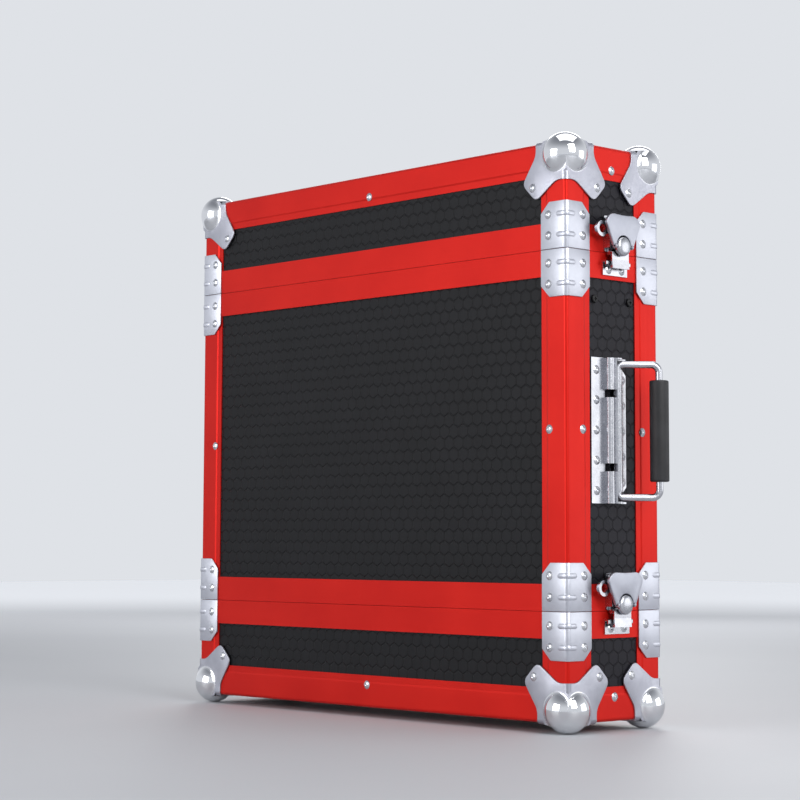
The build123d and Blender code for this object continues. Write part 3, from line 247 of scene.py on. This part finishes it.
def powder_coat(name, dark, shade, grit_mm, roughness):
    """Black powder-coated or oxide steel with a fine orange-peel skin."""
    material, shader = blank_material(name, roughness=roughness, specular_ior_level=0.25)
    grit = mottle(material, object_mm(material), grit_mm, detail=3.0)
    toned = {0: grit, 6: colour(dark), 7: colour(shade)}
    add_node(material, "Mix", toned, out=2, into=shader.inputs["Base Color"], data_type="RGBA")
    add_node(material, "Bump", {"Height": grit, "Distance": 0.04 * MM}, into=shader.inputs["Normal"])
    return material


def closed_cell_foam(name):
    """Charcoal closed-cell foam: matt and open-pored."""
    material, shader = blank_material(name, roughness=0.9)
    scaling = {0: object_mm(material), 1: (0.7, 0.7, 0.7)}
    scaled = add_node(material, "VectorMath", scaling, operation="MULTIPLY")
    pores = add_node(material, "TexVoronoi", {"Vector": scaled, "Scale": 1.0}, out="Distance")
    toned = {0: pores, 6: colour("#1b1b1d"), 7: colour("#3a3a3d")}
    add_node(material, "Mix", toned, out=2, into=shader.inputs["Base Color"], data_type="RGBA")
    add_node(material, "Bump", {"Height": pores, "Distance": 0.3 * MM}, into=shader.inputs["Normal"])
    return material


ACROSS_X, ACROSS_Y, UP_Z = (1, 0, 0), (0, 1, 0), (0, 0, 1)
broad_laminate = hex_laminate("hex_laminate_broad", ACROSS_X, UP_Z, "#151518", "#060608")
# The narrow sides get a lighter copy of the same laminate: painted light, standing for the brighter light
# that falls on those sides
side_laminate_painted_lighter = hex_laminate("hex_laminate_side_painted_lighter", ACROSS_Y, UP_Z, "#1d1c22", "#0b0a10")
cover_laminate = hex_laminate("hex_laminate_cover", ACROSS_X, ACROSS_Y, "#151518", "#060608")
red_upright = anodised_red("red_anodised_upright", UP_Z)
red_edge = anodised_red("red_anodised_edge", ACROSS_X)
satin_zinc = plated_steel("satin_zinc_plate", "#cdcfd8", "#c7c9d2", 0.42, 0.04)
bright_nickel = plated_steel("bright_nickel_plate", "#c4c5ca", "#b4b5bb", 0.24, 0.05)
satin_wing = plated_steel("satin_nickel_wing", "#b9bbc4", "#b1b3bd", 0.45, 0.04)
rivet_steel = plated_steel("rivet_steel", "#dcdde0", "#bdbfc6", 0.24, 0.06, brushed_mm=0.6)
corner_plate = ball_corner_plate("ball_corner_plate")
grip_rubber = moulded_rubber("moulded_grip_rubber")
rail_coat = powder_coat("rail_powder_coat", "#131315", "#2a2a2c", 0.9, 0.45)
black_oxide = powder_coat("black_oxide_screw", "#0b0b0d", "#141416", 0.5, 0.4)
lid_foam = closed_cell_foam("closed_cell_foam")


# Endings of node names, with their finish
FINISHES = (
    (("_foam",), lid_foam),
    (("near_panel", "far_panel", "_broad_walls"), broad_laminate),
    (("right_panel", "left_panel", "_side_walls"), side_laminate_painted_lighter),
    (("_cover",), cover_laminate),
    (("_corner_extrusions",), red_upright),
    (("_edge_extrusions", "_closure_frame"), red_edge),
    (("_rivets",), rivet_steel),
    (("_braces",), satin_zinc),
    (("_wing",), satin_wing),
    (("_ball_corners",), corner_plate),
    (("_grip",), grip_rubber),
    (("rack_rails",), rail_coat),
    (("rail_screws", "rail_nuts"), black_oxide),
)


def finish_for(name):
    """The material of a model node, by what it is; all other hardware is bright."""
    return next((finish for endings, finish in FINISHES if name.endswith(endings)), bright_nickel)


for name, obj in nodes.items():
    obj.data.materials.clear()
    obj.data.materials.append(finish_for(name))


# Mesh helpers

def ring_of(shape, outline):
    """A closed face through points given in millimetres."""
    return shape.faces.new([shape.verts.new(Vector(point) * MM) for point in outline])


def rounded(points, radius, steps=5):
    """The outline with each corner turned into an arc that starts radius away from it."""
    result = []
    count = len(points)
    for i, corner in enumerate(points):
        corner = Vector(corner)
        before = (Vector(points[i - 1]) - corner).normalized()
        after = (Vector(points[(i + 1) % count]) - corner).normalized()
        reach = radius[i] if isinstance(radius, (list, tuple)) else radius
        if reach <= 0:
            result.append(corner)
            continue
        start, end = corner + before * reach, corner + after * reach
        for k in range(steps + 1):
            t = k / steps
            result.append((1 - t) ** 2 * start + 2 * t * (1 - t) * corner + t ** 2 * end)
    return result


def thicken(shape, face, direction):
    """Extrude a face by a vector in millimetres into a closed plate."""
    grown = bmesh.ops.extrude_face_region(shape, geom=[face], use_keep_orig=True)
    far = [g for g in grown["geom"] if isinstance(g, bmesh.types.BMVert)]
    bmesh.ops.translate(shape, verts=far, vec=Vector(direction) * MM)


def soften(shape, edges, width_mm, segments=3):
    """Round the given edges."""
    bmesh.ops.bevel(
        shape, geom=list(edges), offset=width_mm * MM, segments=segments, profile=0.5,
        affect="EDGES", material=-1, clamp_overlap=True,
    )


def turned(shape, profile, centre=None, steps=32):
    """Spin a profile of (radius, height) points, in millimetres, about the local Z axis."""
    verts = [shape.verts.new(Vector((r, 0, h)) * MM) for r, h in profile]
    edges = [shape.edges.new(pair) for pair in zip(verts, verts[1:])]
    bmesh.ops.spin(
        shape, geom=verts + edges, cent=(0, 0, 0), axis=(0, 0, 1), angle=math.tau,
        steps=steps, use_merge=True, use_duplicate=False,
    )
    bmesh.ops.remove_doubles(shape, verts=shape.verts[:], dist=SAME)
    bmesh.ops.recalc_face_normals(shape, faces=shape.faces[:])
    if centre is not None:
        bmesh.ops.transform(shape, matrix=centre, verts=shape.verts[:])


def copies(template, places):
    """One bmesh with the template set at each place; a mirrored place turns its faces again."""
    whole = bmesh.new()
    scratch = bpy.data.meshes.new("scratch")
    for place in places:
        one = template.copy()
        bmesh.ops.transform(one, matrix=place, verts=one.verts[:])
        if place.determinant() < 0:
            bmesh.ops.reverse_faces(one, faces=one.faces[:])
        one.to_mesh(scratch)
        whole.from_mesh(scratch)
        one.free()
    bpy.data.meshes.remove(scratch)
    return whole


def facing(point_mm, outward):
    """A place whose local Z points outward and whose local Y points up where it can."""
    z = Vector(outward).normalized()
    up = Vector((0, 0, 1)) if abs(z.z) < 0.9 else Vector((0, 1, 0))
    x = up.cross(z).normalized()
    y = z.cross(x)
    return Matrix.Translation(Vector(point_mm) * MM) @ Matrix((x, y, z)).transposed().to_4x4()


def make_piece(name, shape, material, slot_name, body, *replaced, sharp=35):
    """Turn a bmesh into a finished piece that rides on a body and stands for model nodes."""
    mesh = bpy.data.meshes.new(name)
    shape.normal_update()
    shape.to_mesh(mesh)
    shape.free()
    for polygon in mesh.polygons:
        polygon.use_smooth = True
    mesh.set_sharp_from_angle(angle=math.radians(sharp))
    mesh.materials.append(material)
    obj = bpy.data.objects.new(name, mesh)
    bpy.context.scene.collection.objects.link(obj)
    if replaced:
        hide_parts(*replaced)
    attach(obj, body)


def bar(shape, centre, outward, radius_mm, moves, sides=12, flat=1.0):
    """A round or flattened bar: a ring at a place, then straight runs and bends, with its ends closed.

    A move is a vector in millimetres, or a bend given by its centre, axis, angle and steps.
    """
    ring = bmesh.ops.create_circle(shape, segments=sides, radius=radius_mm * MM)["verts"]
    bmesh.ops.scale(shape, vec=(flat, 1, 1), verts=ring)
    bmesh.ops.transform(shape, matrix=facing(centre, outward), verts=ring)
    edges = list(dict.fromkeys(e for v in ring for e in v.link_edges))
    bmesh.ops.contextual_create(shape, geom=edges)
    for move in moves:
        if len(move) == 3:
            grown = bmesh.ops.extrude_edge_only(shape, edges=edges)["geom"]
            verts = [g for g in grown if isinstance(g, bmesh.types.BMVert)]
            bmesh.ops.translate(shape, verts=verts, vec=Vector(move) * MM)
        else:
            bend, axis, angle, steps = move
            grown = bmesh.ops.spin(
                shape, geom=edges, cent=Vector(bend) * MM, axis=axis, angle=angle, steps=steps,
                use_merge=False, use_duplicate=False,
            )["geom_last"]
        edges = [g for g in grown if isinstance(g, bmesh.types.BMEdge)]
    bmesh.ops.contextual_create(shape, geom=edges)


def cut_off(shape, point_mm, normal):
    """Cut away what lies beyond a plane and close the cut."""
    cut = bmesh.ops.bisect_plane(
        shape, geom=shape.verts[:] + shape.edges[:] + shape.faces[:], dist=0.0000001,
        plane_co=Vector(point_mm) * MM, plane_no=Vector(normal), clear_outer=True, clear_inner=False,
    )
    edges = [g for g in cut["geom_cut"] if isinstance(g, bmesh.types.BMEdge)]
    bmesh.ops.holes_fill(shape, edges=edges, sides=0)


def corner_places(z, way):
    """Each upright edge, with local X and Y inward and local Z up or down from a level."""
    return [
        Matrix.Translation(Vector((sx * HALF_WIDTH, sy * HALF_THICK, z)) * MM)
        @ Matrix.Diagonal((-sx, -sy, way, 1))
        for sx, sy in CORNERS
    ]


# Rivets

def rivet_shape():
    """Domed pop-rivet head, eight millimetres across, with its mandrel set in the middle."""
    shape = bmesh.new()
    radius, high = 4.0, 1.5
    cap = (radius ** 2 + high ** 2) / (2 * high)
    dome = [(r, high - cap + math.sqrt(cap ** 2 - r ** 2)) for r in (1.5, 2.1, 2.8, 3.4, 3.8, radius)]
    mandrel = [(0.0, 0.95), (0.7, 0.9), (1.0, 0.65), (1.25, 0.75), (1.4, 1.2)]
    profile = mandrel + dome + [(3.9, -0.15), (0.0, -0.15)]
    turned(shape, profile, steps=24)
    return shape


def brace_rivet_places(end, way):
    """Two rows of rivets in each brace half on one side of a seam."""
    found = []
    for row in BRACE_ROWS:
        z = SEAMS[end] + way * row
        for sx, sy in CORNERS:
            found.append(facing((sx * (HALF_WIDTH - BRACE_INSET), sy * (HALF_THICK + SHEET), z), (0, sy, 0)))
            found.append(facing((sx * (HALF_WIDTH + SHEET), sy * (HALF_THICK - BRACE_INSET), z), (sx, 0, 0)))
    return found


def lid_rivet_places(end):
    """A lid's rivets: its braces, its edge extrusions and the leaves of its ball corners."""
    face, way = (TOP, 1) if end == "front" else (BOTTOM, -1)
    edge_z, leaf_z = face - way * EDGE_INSET, face - way * LEAF_INSET
    found = brace_rivet_places(end, way)
    for s in SIDES:
        found.append(facing((0, s * (HALF_THICK - EDGE_INSET), face), (0, 0, way)))
        found.append(facing((s * (HALF_WIDTH - EDGE_INSET), 0, face), (0, 0, way)))
        found.append(facing((0, s * HALF_THICK, edge_z), (0, s, 0)))
        found.append(facing((s * HALF_WIDTH, 0, edge_z), (s, 0, 0)))
    for sx, sy in CORNERS:
        x, y = sx * (HALF_WIDTH - LEAF_INSET), sy * (HALF_THICK - LEAF_INSET)
        found.append(facing((x, y, face + way * SHEET), (0, 0, way)))
        found.append(facing((x, sy * (HALF_THICK + SHEET), leaf_z), (0, sy, 0)))
        found.append(facing((sx * (HALF_WIDTH + SHEET), y, leaf_z), (sx, 0, 0)))
    return found


def latch_rivet_places(end, spots):
    """Rivets of a keeper or a latch base, on both narrow sides."""
    x, z = HALF_WIDTH + SHEET, SEAMS[end]
    return [facing((s * x, s * (LATCH_Y + u), z + v), (s, 0, 0)) for s in SIDES for u, v in spots]


def upright_rivet_places():
    """One rivet halfway up each leg of the four upright extrusions."""
    x, y = HALF_WIDTH - EDGE_INSET, HALF_THICK - EDGE_INSET
    found = [facing((sx * x, sy * HALF_THICK, MIDDLE), (0, sy, 0)) for sx, sy in CORNERS]
    return found + [facing((sx * HALF_WIDTH, sy * y, MIDDLE), (sx, 0, 0)) for sx, sy in CORNERS]


def handle_rivet_places():
    """Two columns of five on each handle plate, whose outside lies a little inside the extrusions'."""
    sunk = 0.3
    return [
        facing((s * (HALF_WIDTH - sunk), column, MIDDLE + k * pitch), (s, 0, 0))
        for s in SIDES for column, pitch in HANDLE_COLUMNS for k in range(-2, 3)
    ]


def set_rivets():
    """Fit the rivet heads of each model node."""
    shape = rivet_shape()
    body_braces = brace_rivet_places("front", -1) + brace_rivet_places("rear", 1)
    body_latches = latch_rivet_places("front", KEEPER_SPOTS) + latch_rivet_places("rear", BASE_SPOTS)
    front_lid = lid_rivet_places("front") + latch_rivet_places("front", BASE_SPOTS)
    rear_lid = lid_rivet_places("rear") + latch_rivet_places("rear", KEEPER_SPOTS)
    groups = {
        "body_brace_rivets": ("case_body", body_braces),
        "body_edge_rivets": ("case_body", upright_rivet_places()),
        "handle_rivets": ("case_body", handle_rivet_places()),
        "body_latch_rivets": ("case_body", body_latches),
        "front_lid_rivets": ("front_lid", front_lid),
        "rear_lid_rivets": ("rear_lid", rear_lid),
    }
    for node, (body, places) in groups.items():
        make_piece(f"{node}_heads", copies(shape, places), rivet_steel, "rivet_steel", body, node)
    shape.free()


# Corner braces

def arc(centre, radius, start, end, steps=6):
    """Points of an arc in the XY plane, its angles in degrees."""
    turns = [math.radians(start + (end - start) * k / steps) for k in range(steps + 1)]
    return [(centre[0] + radius * math.cos(t), centre[1] + radius * math.sin(t), 0) for t in turns]


def brace_shape():
    """Half a corner brace: sheet bent round the edge, its far corners cut off and its rim eased."""
    shape = bmesh.new()
    leg, start, tall, cut = 29, 0.2, 41.8, 32
    outer = arc((BEND, BEND), BEND + SHEET, 270, 180)
    inner = arc((BEND, BEND), BEND, 180, 270)
    outline = [(leg, -SHEET, 0)] + outer + [(-SHEET, leg, 0), (0, leg, 0)] + inner + [(leg, 0, 0)]
    face = ring_of(shape, [(x, y, start) for x, y, z in outline])
    thicken(shape, face, (0, 0, tall))
    cut_off(shape, (leg, 0, cut), (1, 0, 1))
    cut_off(shape, (0, leg, cut), (0, 1, 1))
    bmesh.ops.recalc_face_normals(shape, faces=shape.faces[:])
    rim = [e for e in shape.edges if e.calc_face_angle(0) > math.radians(40)]
    soften(shape, rim, 0.4, segments=2)
    # Pressed beads that stiffen the bend, in line with the rivets, rising from the sheet at each end
    for row in BRACE_ROWS:
        round_the_bend = ((BEND, BEND, row), (0, 0, 1), -math.pi / 2, 10)
        run = [(-2.2, -0.6, 0), (-5.4, 0, 0), round_the_bend, (0, 5.4, 0), (0.6, 2.2, 0)]
        bar(shape, (10.5, -0.5, row), (-1, 0, 0), 2.5, run, sides=16, flat=0.4)
    bmesh.ops.recalc_face_normals(shape, faces=shape.faces[:])
    return shape


def fit_braces():
    """Set the brace halves on both sides of each seam."""
    shape = brace_shape()
    front, rear = SEAMS["front"], SEAMS["rear"]
    pieces = {
        "body_corner_braces": ("case_body", corner_places(front, -1) + corner_places(rear, 1)),
        "front_lid_corner_braces": ("front_lid", corner_places(front, 1)),
        "rear_lid_corner_braces": ("rear_lid", corner_places(rear, -1)),
    }
    for node, (body, places) in pieces.items():
        make_piece(f"{node}_pressed", copies(shape, places), satin_zinc, "satin_zinc", body, node)
    shape.free()


# Ball corners

def ball_corner_shape():
    """A ball corner in the corner of the case: mirror ball, concave skirts and three leaves."""
    shape = bmesh.new()
    inset, radius, sheet, fillet = BALL_INSET, BALL_RADIUS, SHEET, 5.0
    side, foot, tip = 35, 11, 51.5
    # One leaf, its tips rounded and its rim eased
    outline = [
        (BEND, BEND, 0), (BEND, side, 0), (foot, side, 0), (side, tip, 0),
        (tip, side, 0), (side, foot, 0), (side, BEND, 0),
    ]
    radii = [0, 0, 5, 6, 6, 5, 0]
    leaf = bmesh.new()
    face = ring_of(leaf, rounded(outline, radii))
    thicken(leaf, face, (0, 0, -sheet))
    bmesh.ops.recalc_face_normals(leaf, faces=leaf.faces[:])
    rim = [
        e for e in leaf.edges
        if e.calc_face_angle(0) > math.radians(60) and all(v.co.z < -1 * MM for v in e.verts)
        and max(v.co.x for v in e.verts) > 3 * MM and max(v.co.y for v in e.verts) > 3 * MM
    ]
    soften(leaf, rim, 0.5, segments=3)
    # The rounded edge between this leaf and the next
    start = ring_of(leaf, ((BEND, BEND, 0), (BEND, side, 0), (BEND, side, -sheet), (BEND, BEND, -sheet)))
    bmesh.ops.spin(
        leaf, geom=[start], cent=Vector((BEND, 0, BEND)) * MM, axis=(0, 1, 0), angle=math.pi / 2, steps=6,
        use_merge=False, use_duplicate=False,
    )
    # The concave skirt that runs from the leaf up to the ball
    skirt = bmesh.new()
    height = sheet + fillet
    out = math.sqrt((radius + fillet) ** 2 - (height + inset) ** 2)
    first = math.atan2(-(height + inset), -out)
    steps = 8
    turns = [first + (-math.pi / 2 - first) * k / steps for k in range(steps + 1)]
    profile = [(out + fillet * math.cos(t), height + fillet * math.sin(t)) for t in turns]
    profile = [(profile[0][0] - 1.2, profile[0][1] + 0.2)] + profile + [(out + 1.5, sheet - 0.2)]
    verts = [skirt.verts.new(Vector((r, 0, -w)) * MM) for r, w in profile]
    edges = [skirt.edges.new(pair) for pair in zip(verts, verts[1:])]
    bmesh.ops.spin(
        skirt, geom=verts + edges, cent=(0, 0, 0), axis=(0, 0, 1), angle=math.tau, steps=96,
        use_merge=True, use_duplicate=False,
    )
    bmesh.ops.remove_doubles(skirt, verts=skirt.verts[:], dist=SAME)
    bmesh.ops.translate(skirt, verts=skirt.verts[:], vec=Vector((inset, inset, 0)) * MM)
    for point, normal in (((0, 0, 0), (-1, 0, 1)), ((0, 0, 0), (0, -1, 1)), ((4, 4, 0), (-1, -1, 0))):
        bmesh.ops.bisect_plane(
            skirt, geom=skirt.verts[:] + skirt.edges[:] + skirt.faces[:], plane_co=Vector(point) * MM,
            plane_no=Vector(normal), clear_outer=True,
        )
    for f in skirt.faces:
        middle = f.calc_center_median()
        if f.normal.dot(Vector((middle.x - inset * MM, middle.y - inset * MM, 0))) < 0:
            f.normal_flip()
    scratch = bpy.data.meshes.new("scratch")
    for part in (leaf, skirt):
        for turn in range(3):
            one = part.copy()
            bmesh.ops.rotate(
                one, cent=(0, 0, 0), matrix=Matrix.Rotation(math.tau * turn / 3, 3, Vector((1, 1, 1))),
                verts=one.verts[:],
            )
            one.to_mesh(scratch)
            shape.from_mesh(scratch)
            one.free()
        part.free()
    ball = bmesh.new()
    bmesh.ops.create_icosphere(ball, subdivisions=6, radius=radius * MM)
    bmesh.ops.translate(ball, verts=ball.verts[:], vec=Vector((inset,) * 3) * MM)
    hidden = [f for f in ball.faces if min(f.calc_center_median()) > 0]
    bmesh.ops.delete(ball, geom=hidden, context="FACES")
    ball.to_mesh(scratch)
    shape.from_mesh(scratch)
    ball.free()
    bpy.data.meshes.remove(scratch)
    return shape


def fit_ball_corners():
    """Set four ball corners on each lid."""
    shape = ball_corner_shape()
    for end, z, way in (("front", TOP, -1), ("rear", BOTTOM, 1)):
        make_piece(
            f"{end}_ball_corner_set", copies(shape, corner_places(z, way)), corner_plate, "satin_zinc",
            f"{end}_lid", f"{end}_lid_ball_corners",
        )
    shape.free()


# Handles

def fit_handles():
    """The bent steel bail and its rubber sleeve, standing off the side as in the photograph."""
    half, arm, bend, root, stub, rod_radius = ARM_HALF, ARM_LENGTH, 7.0, 4.5, 28, 3.25
    quarter = math.pi / 2
    for side, name in ((1, "right"), (-1, "left")):
        turn = BAIL_TURN if side > 0 else math.pi - BAIL_TURN
        swing = Matrix.Translation(Vector((side * (HALF_WIDTH + PIVOT_OUT), 0, MIDDLE)) * MM)
        swing = swing @ Matrix.Rotation(turn, 4, "Z")
        rod = bmesh.new()
        bar(rod, (0, 0, -half + stub), (0, 0, -1), rod_radius, [
            (0, 0, root - stub),
            ((root, 0, root - half), (0, 1, 0), -quarter, 8),
            (arm - bend - root, 0, 0),
            ((arm - bend, 0, bend - half), (0, 1, 0), -quarter, 10),
            (0, 0, 2 * (half - bend)),
            ((arm - bend, 0, half - bend), (0, 1, 0), -quarter, 10),
            (bend + root - arm, 0, 0),
            ((root, 0, half - root), (0, 1, 0), -quarter, 8),
            (0, 0, root - stub),
        ], sides=28)
        bmesh.ops.recalc_face_normals(rod, faces=rod.faces[:])
        bmesh.ops.transform(rod, matrix=swing, verts=rod.verts[:])
        make_piece(f"{name}_bail_rod", rod, bright_nickel, "bright_chrome", f"{name}_handle", f"{name}_bail")
        sleeve = bmesh.new()
        tip = 44.75
        ends = [(3.3, tip), (7.0, tip), (7.9, tip - 0.3), (8.4, tip - 0.9), (8.5, tip - 1.8)]
        profile = ends + [(r, -h) for r, h in reversed(ends)]
        turned(sleeve, profile, Matrix.Translation(Vector((arm, 0, 0)) * MM), steps=48)
        bmesh.ops.transform(sleeve, matrix=swing, verts=sleeve.verts[:])
        make_piece(
            f"{name}_grip_sleeve", sleeve, grip_rubber, "grip_rubber", f"{name}_handle", f"{name}_grip"
        )


# Latches

def latch_place(end, side):
    """Local X along the latch's width, local Y up from the seam, local Z off the face."""
    z = SEAMS[end]
    columns = (Vector((0, side, 0)), Vector((0, 0, 1)), Vector((side, 0, 0)))
    turn = Matrix(columns).transposed().to_4x4()
    return Matrix.Translation(Vector((side * HALF_WIDTH, side * LATCH_Y, z)) * MM) @ turn


def wing_shape():
    """The butterfly wing: a pressed plate with a round notch, two eyes and rolled shoulders."""
    shape = bmesh.new()
    low, thick, clear, rim_width, rim_drop = WING_LIFT, 3.3, 9.6, 1.1, 1.3
    right = [(13.0, DRUM_Z, low), (23.0, 27.5, low), (15.5, 34.0, low), (0, 33.0, low)]
    left = [(-x, y, z) for x, y, z in reversed(right[:-1])]
    outline = rounded(right + left, [0, 4.6, 4.0, 8, 4.0, 4.6, 0], steps=8)
    turns = [math.pi * k / 24 for k in range(25)]
    notch = [(clear * math.cos(t), DRUM_Z + clear * math.sin(t), low) for t in turns]
    face = ring_of(shape, [*outline, *reversed(notch)])
    thicken(shape, face, (0, 0, thick))
    bmesh.ops.recalc_face_normals(shape, faces=shape.faces[:])
    rim = [e for e in shape.edges if e.calc_face_angle(0) > math.radians(60)
           and abs(e.verts[0].co.z - e.verts[1].co.z) < LEVEL]
    soften(shape, rim, 0.7, segments=3)
    # The hollow back inside the turned-down rim
    back = min(shape.faces, key=lambda f: (round(f.calc_center_median().z, 5), -f.calc_area()))
    bmesh.ops.inset_region(shape, faces=[back], thickness=rim_width * MM)
    bmesh.ops.translate(shape, verts=back.verts[:], vec=(0, 0, rim_drop * MM))
    # An eye on each side of the drum for the pivot pin
    for s in SIDES:
        bar(shape, (s * 9.7, DRUM_Z, WING_PIN_LIFT), (s, 0, 0), 2.1, [(s * 2.1, 0, 0)], sides=24)
    bmesh.ops.recalc_face_normals(shape, faces=shape.faces[:])
    return shape


def drum_shape():
    """The latch's drum: a polished dome on a neck, with its cam and the wing's pivot pin."""
    shape = bmesh.new()
    cam_offset, pin_end = 1.5, 11.8
    dome = [(0.0, 14.5), (3.0, 14.42), (5.2, 14.15), (6.9, 13.6), (8.0, 12.9), (8.5, 12.0)]
    rim = [(DRUM_RADIUS, 11.2), (DRUM_RADIUS, 9.7), (8.4, 9.4)]
    neck = [(3.4, 9.4), (3.4, 3.8), (2.9, 3.8), (2.9, 0.1), (0.0, 0.1)]
    turned(shape, dome + rim + neck, Matrix.Translation(Vector((0, DRUM_Z, 0)) * MM), steps=64)
    bar(shape, (0, DRUM_Z + cam_offset, 1.8), (0, 0, 1), 5.0, [(0, 0, 2.0)], sides=48)
    bar(shape, (-pin_end, DRUM_Z, WING_PIN_LIFT), (1, 0, 0), 1.0, [(2 * pin_end, 0, 0)], sides=16)
    bmesh.ops.recalc_face_normals(shape, faces=shape.faces[:])
    return shape


def fit_latches():
    """Set a wing and a drum at each of the four latches."""
    wing, drum = wing_shape(), drum_shape()
    for end in SEAMS:
        for side, word in ((1, "right"), (-1, "left")):
            place = [latch_place(end, side)]
            key = f"{end}_{word}"
            make_piece(
                f"{key}_wing_plate", copies(wing, place), satin_wing, "satin_zinc", f"{key}_butterfly",
                f"{key}_wing",
            )
            make_piece(
                f"{key}_drum_dome", copies(drum, place), bright_nickel, "bright_chrome", f"{key}_twist",
                f"{key}_drum",
            )
    wing.free()
    drum.free()


set_rivets()
fit_braces()
fit_ball_corners()
fit_handles()
fit_latches()


# Floor, backdrop and light

BACKDROP = "#dfe2e7"


def seen_directly(material):
    """One for a ray from the camera or from a mirror or glass, none for a ray of soft light."""
    path = add_node(material, "LightPath").node.outputs
    seen = path["Is Camera Ray"]
    for kind in ("Is Glossy Ray", "Is Transmission Ray"):
        seen = add_node(material, "Math", {0: seen, 1: path[kind]}, operation="MAXIMUM")
    return seen


def pale_floor():
    """A plain pale floor that fades into the backdrop."""
    mesh = bpy.data.meshes.new("studio_floor")
    shape = bmesh.new()
    half_side = 6.0
    bmesh.ops.create_grid(shape, x_segments=1, y_segments=1, size=half_side)
    shape.to_mesh(mesh)
    shape.free()
    floor = bpy.data.objects.new("studio_floor", mesh)
    bpy.context.scene.collection.objects.link(floor)
    material, shader = blank_material("pale_floor", roughness=0.6)
    place = object_mm(material)
    toned = {0: mottle(material, place, 400.0), 6: colour("#bfc1c6"), 7: colour("#c5c7cb")}
    add_node(material, "Mix", toned, out=2, into=shader.inputs["Base Color"], data_type="RGBA")
    # Far from the case, where the lamps don't reach, the floor carries on as pale as the backdrop
    away = add_node(material, "VectorMath", {0: place}, out="Value", operation="LENGTH")
    fade = {"Value": away, "From Min": 1200.0, "From Max": 4600.0, "To Min": 0.0, "To Max": 0.78}
    glow = add_node(material, "MapRange", fade, interpolation_type="SMOOTHSTEP")
    shown = {0: glow, 1: seen_directly(material)}
    add_node(material, "Math", shown, into=shader.inputs["Emission Strength"], operation="MULTIPLY")
    shader.inputs["Emission Color"].default_value = colour(BACKDROP)
    mesh.materials.append(material)


def studio_world():
    """A pale studio, bright to the camera and in reflections, softer as light, and greyer overhead."""
    world = bpy.data.worlds.new("studio_world")
    world.use_nodes = True
    background = world.node_tree.nodes["Background"]
    height = add_node(world, "SeparateXYZ", {0: add_node(world, "TexCoord", out="Generated")}, out=2)
    rise = {"Value": height, "From Min": 0.25, "From Max": 0.9}
    overhead = add_node(world, "MapRange", rise, interpolation_type="SMOOTHSTEP")
    toned = {0: overhead, 6: colour(BACKDROP), 7: colour("#8b8e95")}
    add_node(world, "Mix", toned, out=2, into=background.inputs["Color"], data_type="RGBA")
    strength = {"Value": seen_directly(world), "To Min": 0.45, "To Max": 1.0}
    add_node(world, "MapRange", strength, into=background.inputs["Strength"])
    bpy.context.scene.world = world


def area_light(name, place, target, width, height, power):
    """A soft panel light at a place, turned to face a target."""
    lamp = bpy.data.lights.new(name, "AREA")
    lamp.shape = "RECTANGLE"
    lamp.size = width
    lamp.size_y = height
    lamp.energy = power
    obj = bpy.data.objects.new(name, lamp)
    aim = (Vector(target) - Vector(place)).to_track_quat("-Z", "Y")
    obj.matrix_world = Matrix.Translation(place) @ aim.to_matrix().to_4x4()
    bpy.context.scene.collection.objects.link(obj)


def photograph_camera():
    """The camera that sees the case as the photograph does."""
    azimuth, elevation, roll = math.radians(47.36), math.radians(-5.44), math.radians(0.19)
    back = Vector((
        math.sin(azimuth) * math.cos(elevation),
        -math.cos(azimuth) * math.cos(elevation),
        math.sin(elevation),
    ))
    right = (-back).cross(Vector((0, 0, 1))).normalized()
    up = right.cross(-back)
    turned_right = math.cos(roll) * right + math.sin(roll) * up
    turned_up = math.cos(roll) * up - math.sin(roll) * right
    place = Vector((1512.44, -1411.6, 162.89)) * MM
    camera = bpy.data.cameras.new("photograph_camera")
    camera.sensor_width = 36.0
    camera.lens = 95.96
    camera.shift_y = -0.075
    camera.clip_start = 0.05
    obj = bpy.data.objects.new("photograph_camera", camera)
    turn = Matrix((turned_right, turned_up, back)).transposed()
    obj.matrix_world = Matrix.Translation(place) @ turn.to_4x4()
    bpy.context.scene.collection.objects.link(obj)
    bpy.context.scene.camera = obj


pale_floor()
studio_world()
CENTRE = (0, 0, MIDDLE * MM)
area_light("key_right", (2.2, -0.4, 1.4), CENTRE, 1.2, 1.6, 32)
area_light("front_fill", (-0.6, -2.6, 0.8), CENTRE, 1.8, 1.4, 30)
area_light("top_soft", (0.2, 0.2, 2.4), CENTRE, 2.0, 2.0, 20)
area_light("side_reflector", (1.9, 1.7, 0.45), CENTRE, 1.5, 1.3, 8)
area_light("back_rim", (-1.6, 1.8, 1.2), CENTRE, 1.2, 1.2, 16)
photograph_camera()
bpy.context.scene.view_settings.view_transform = "Standard"
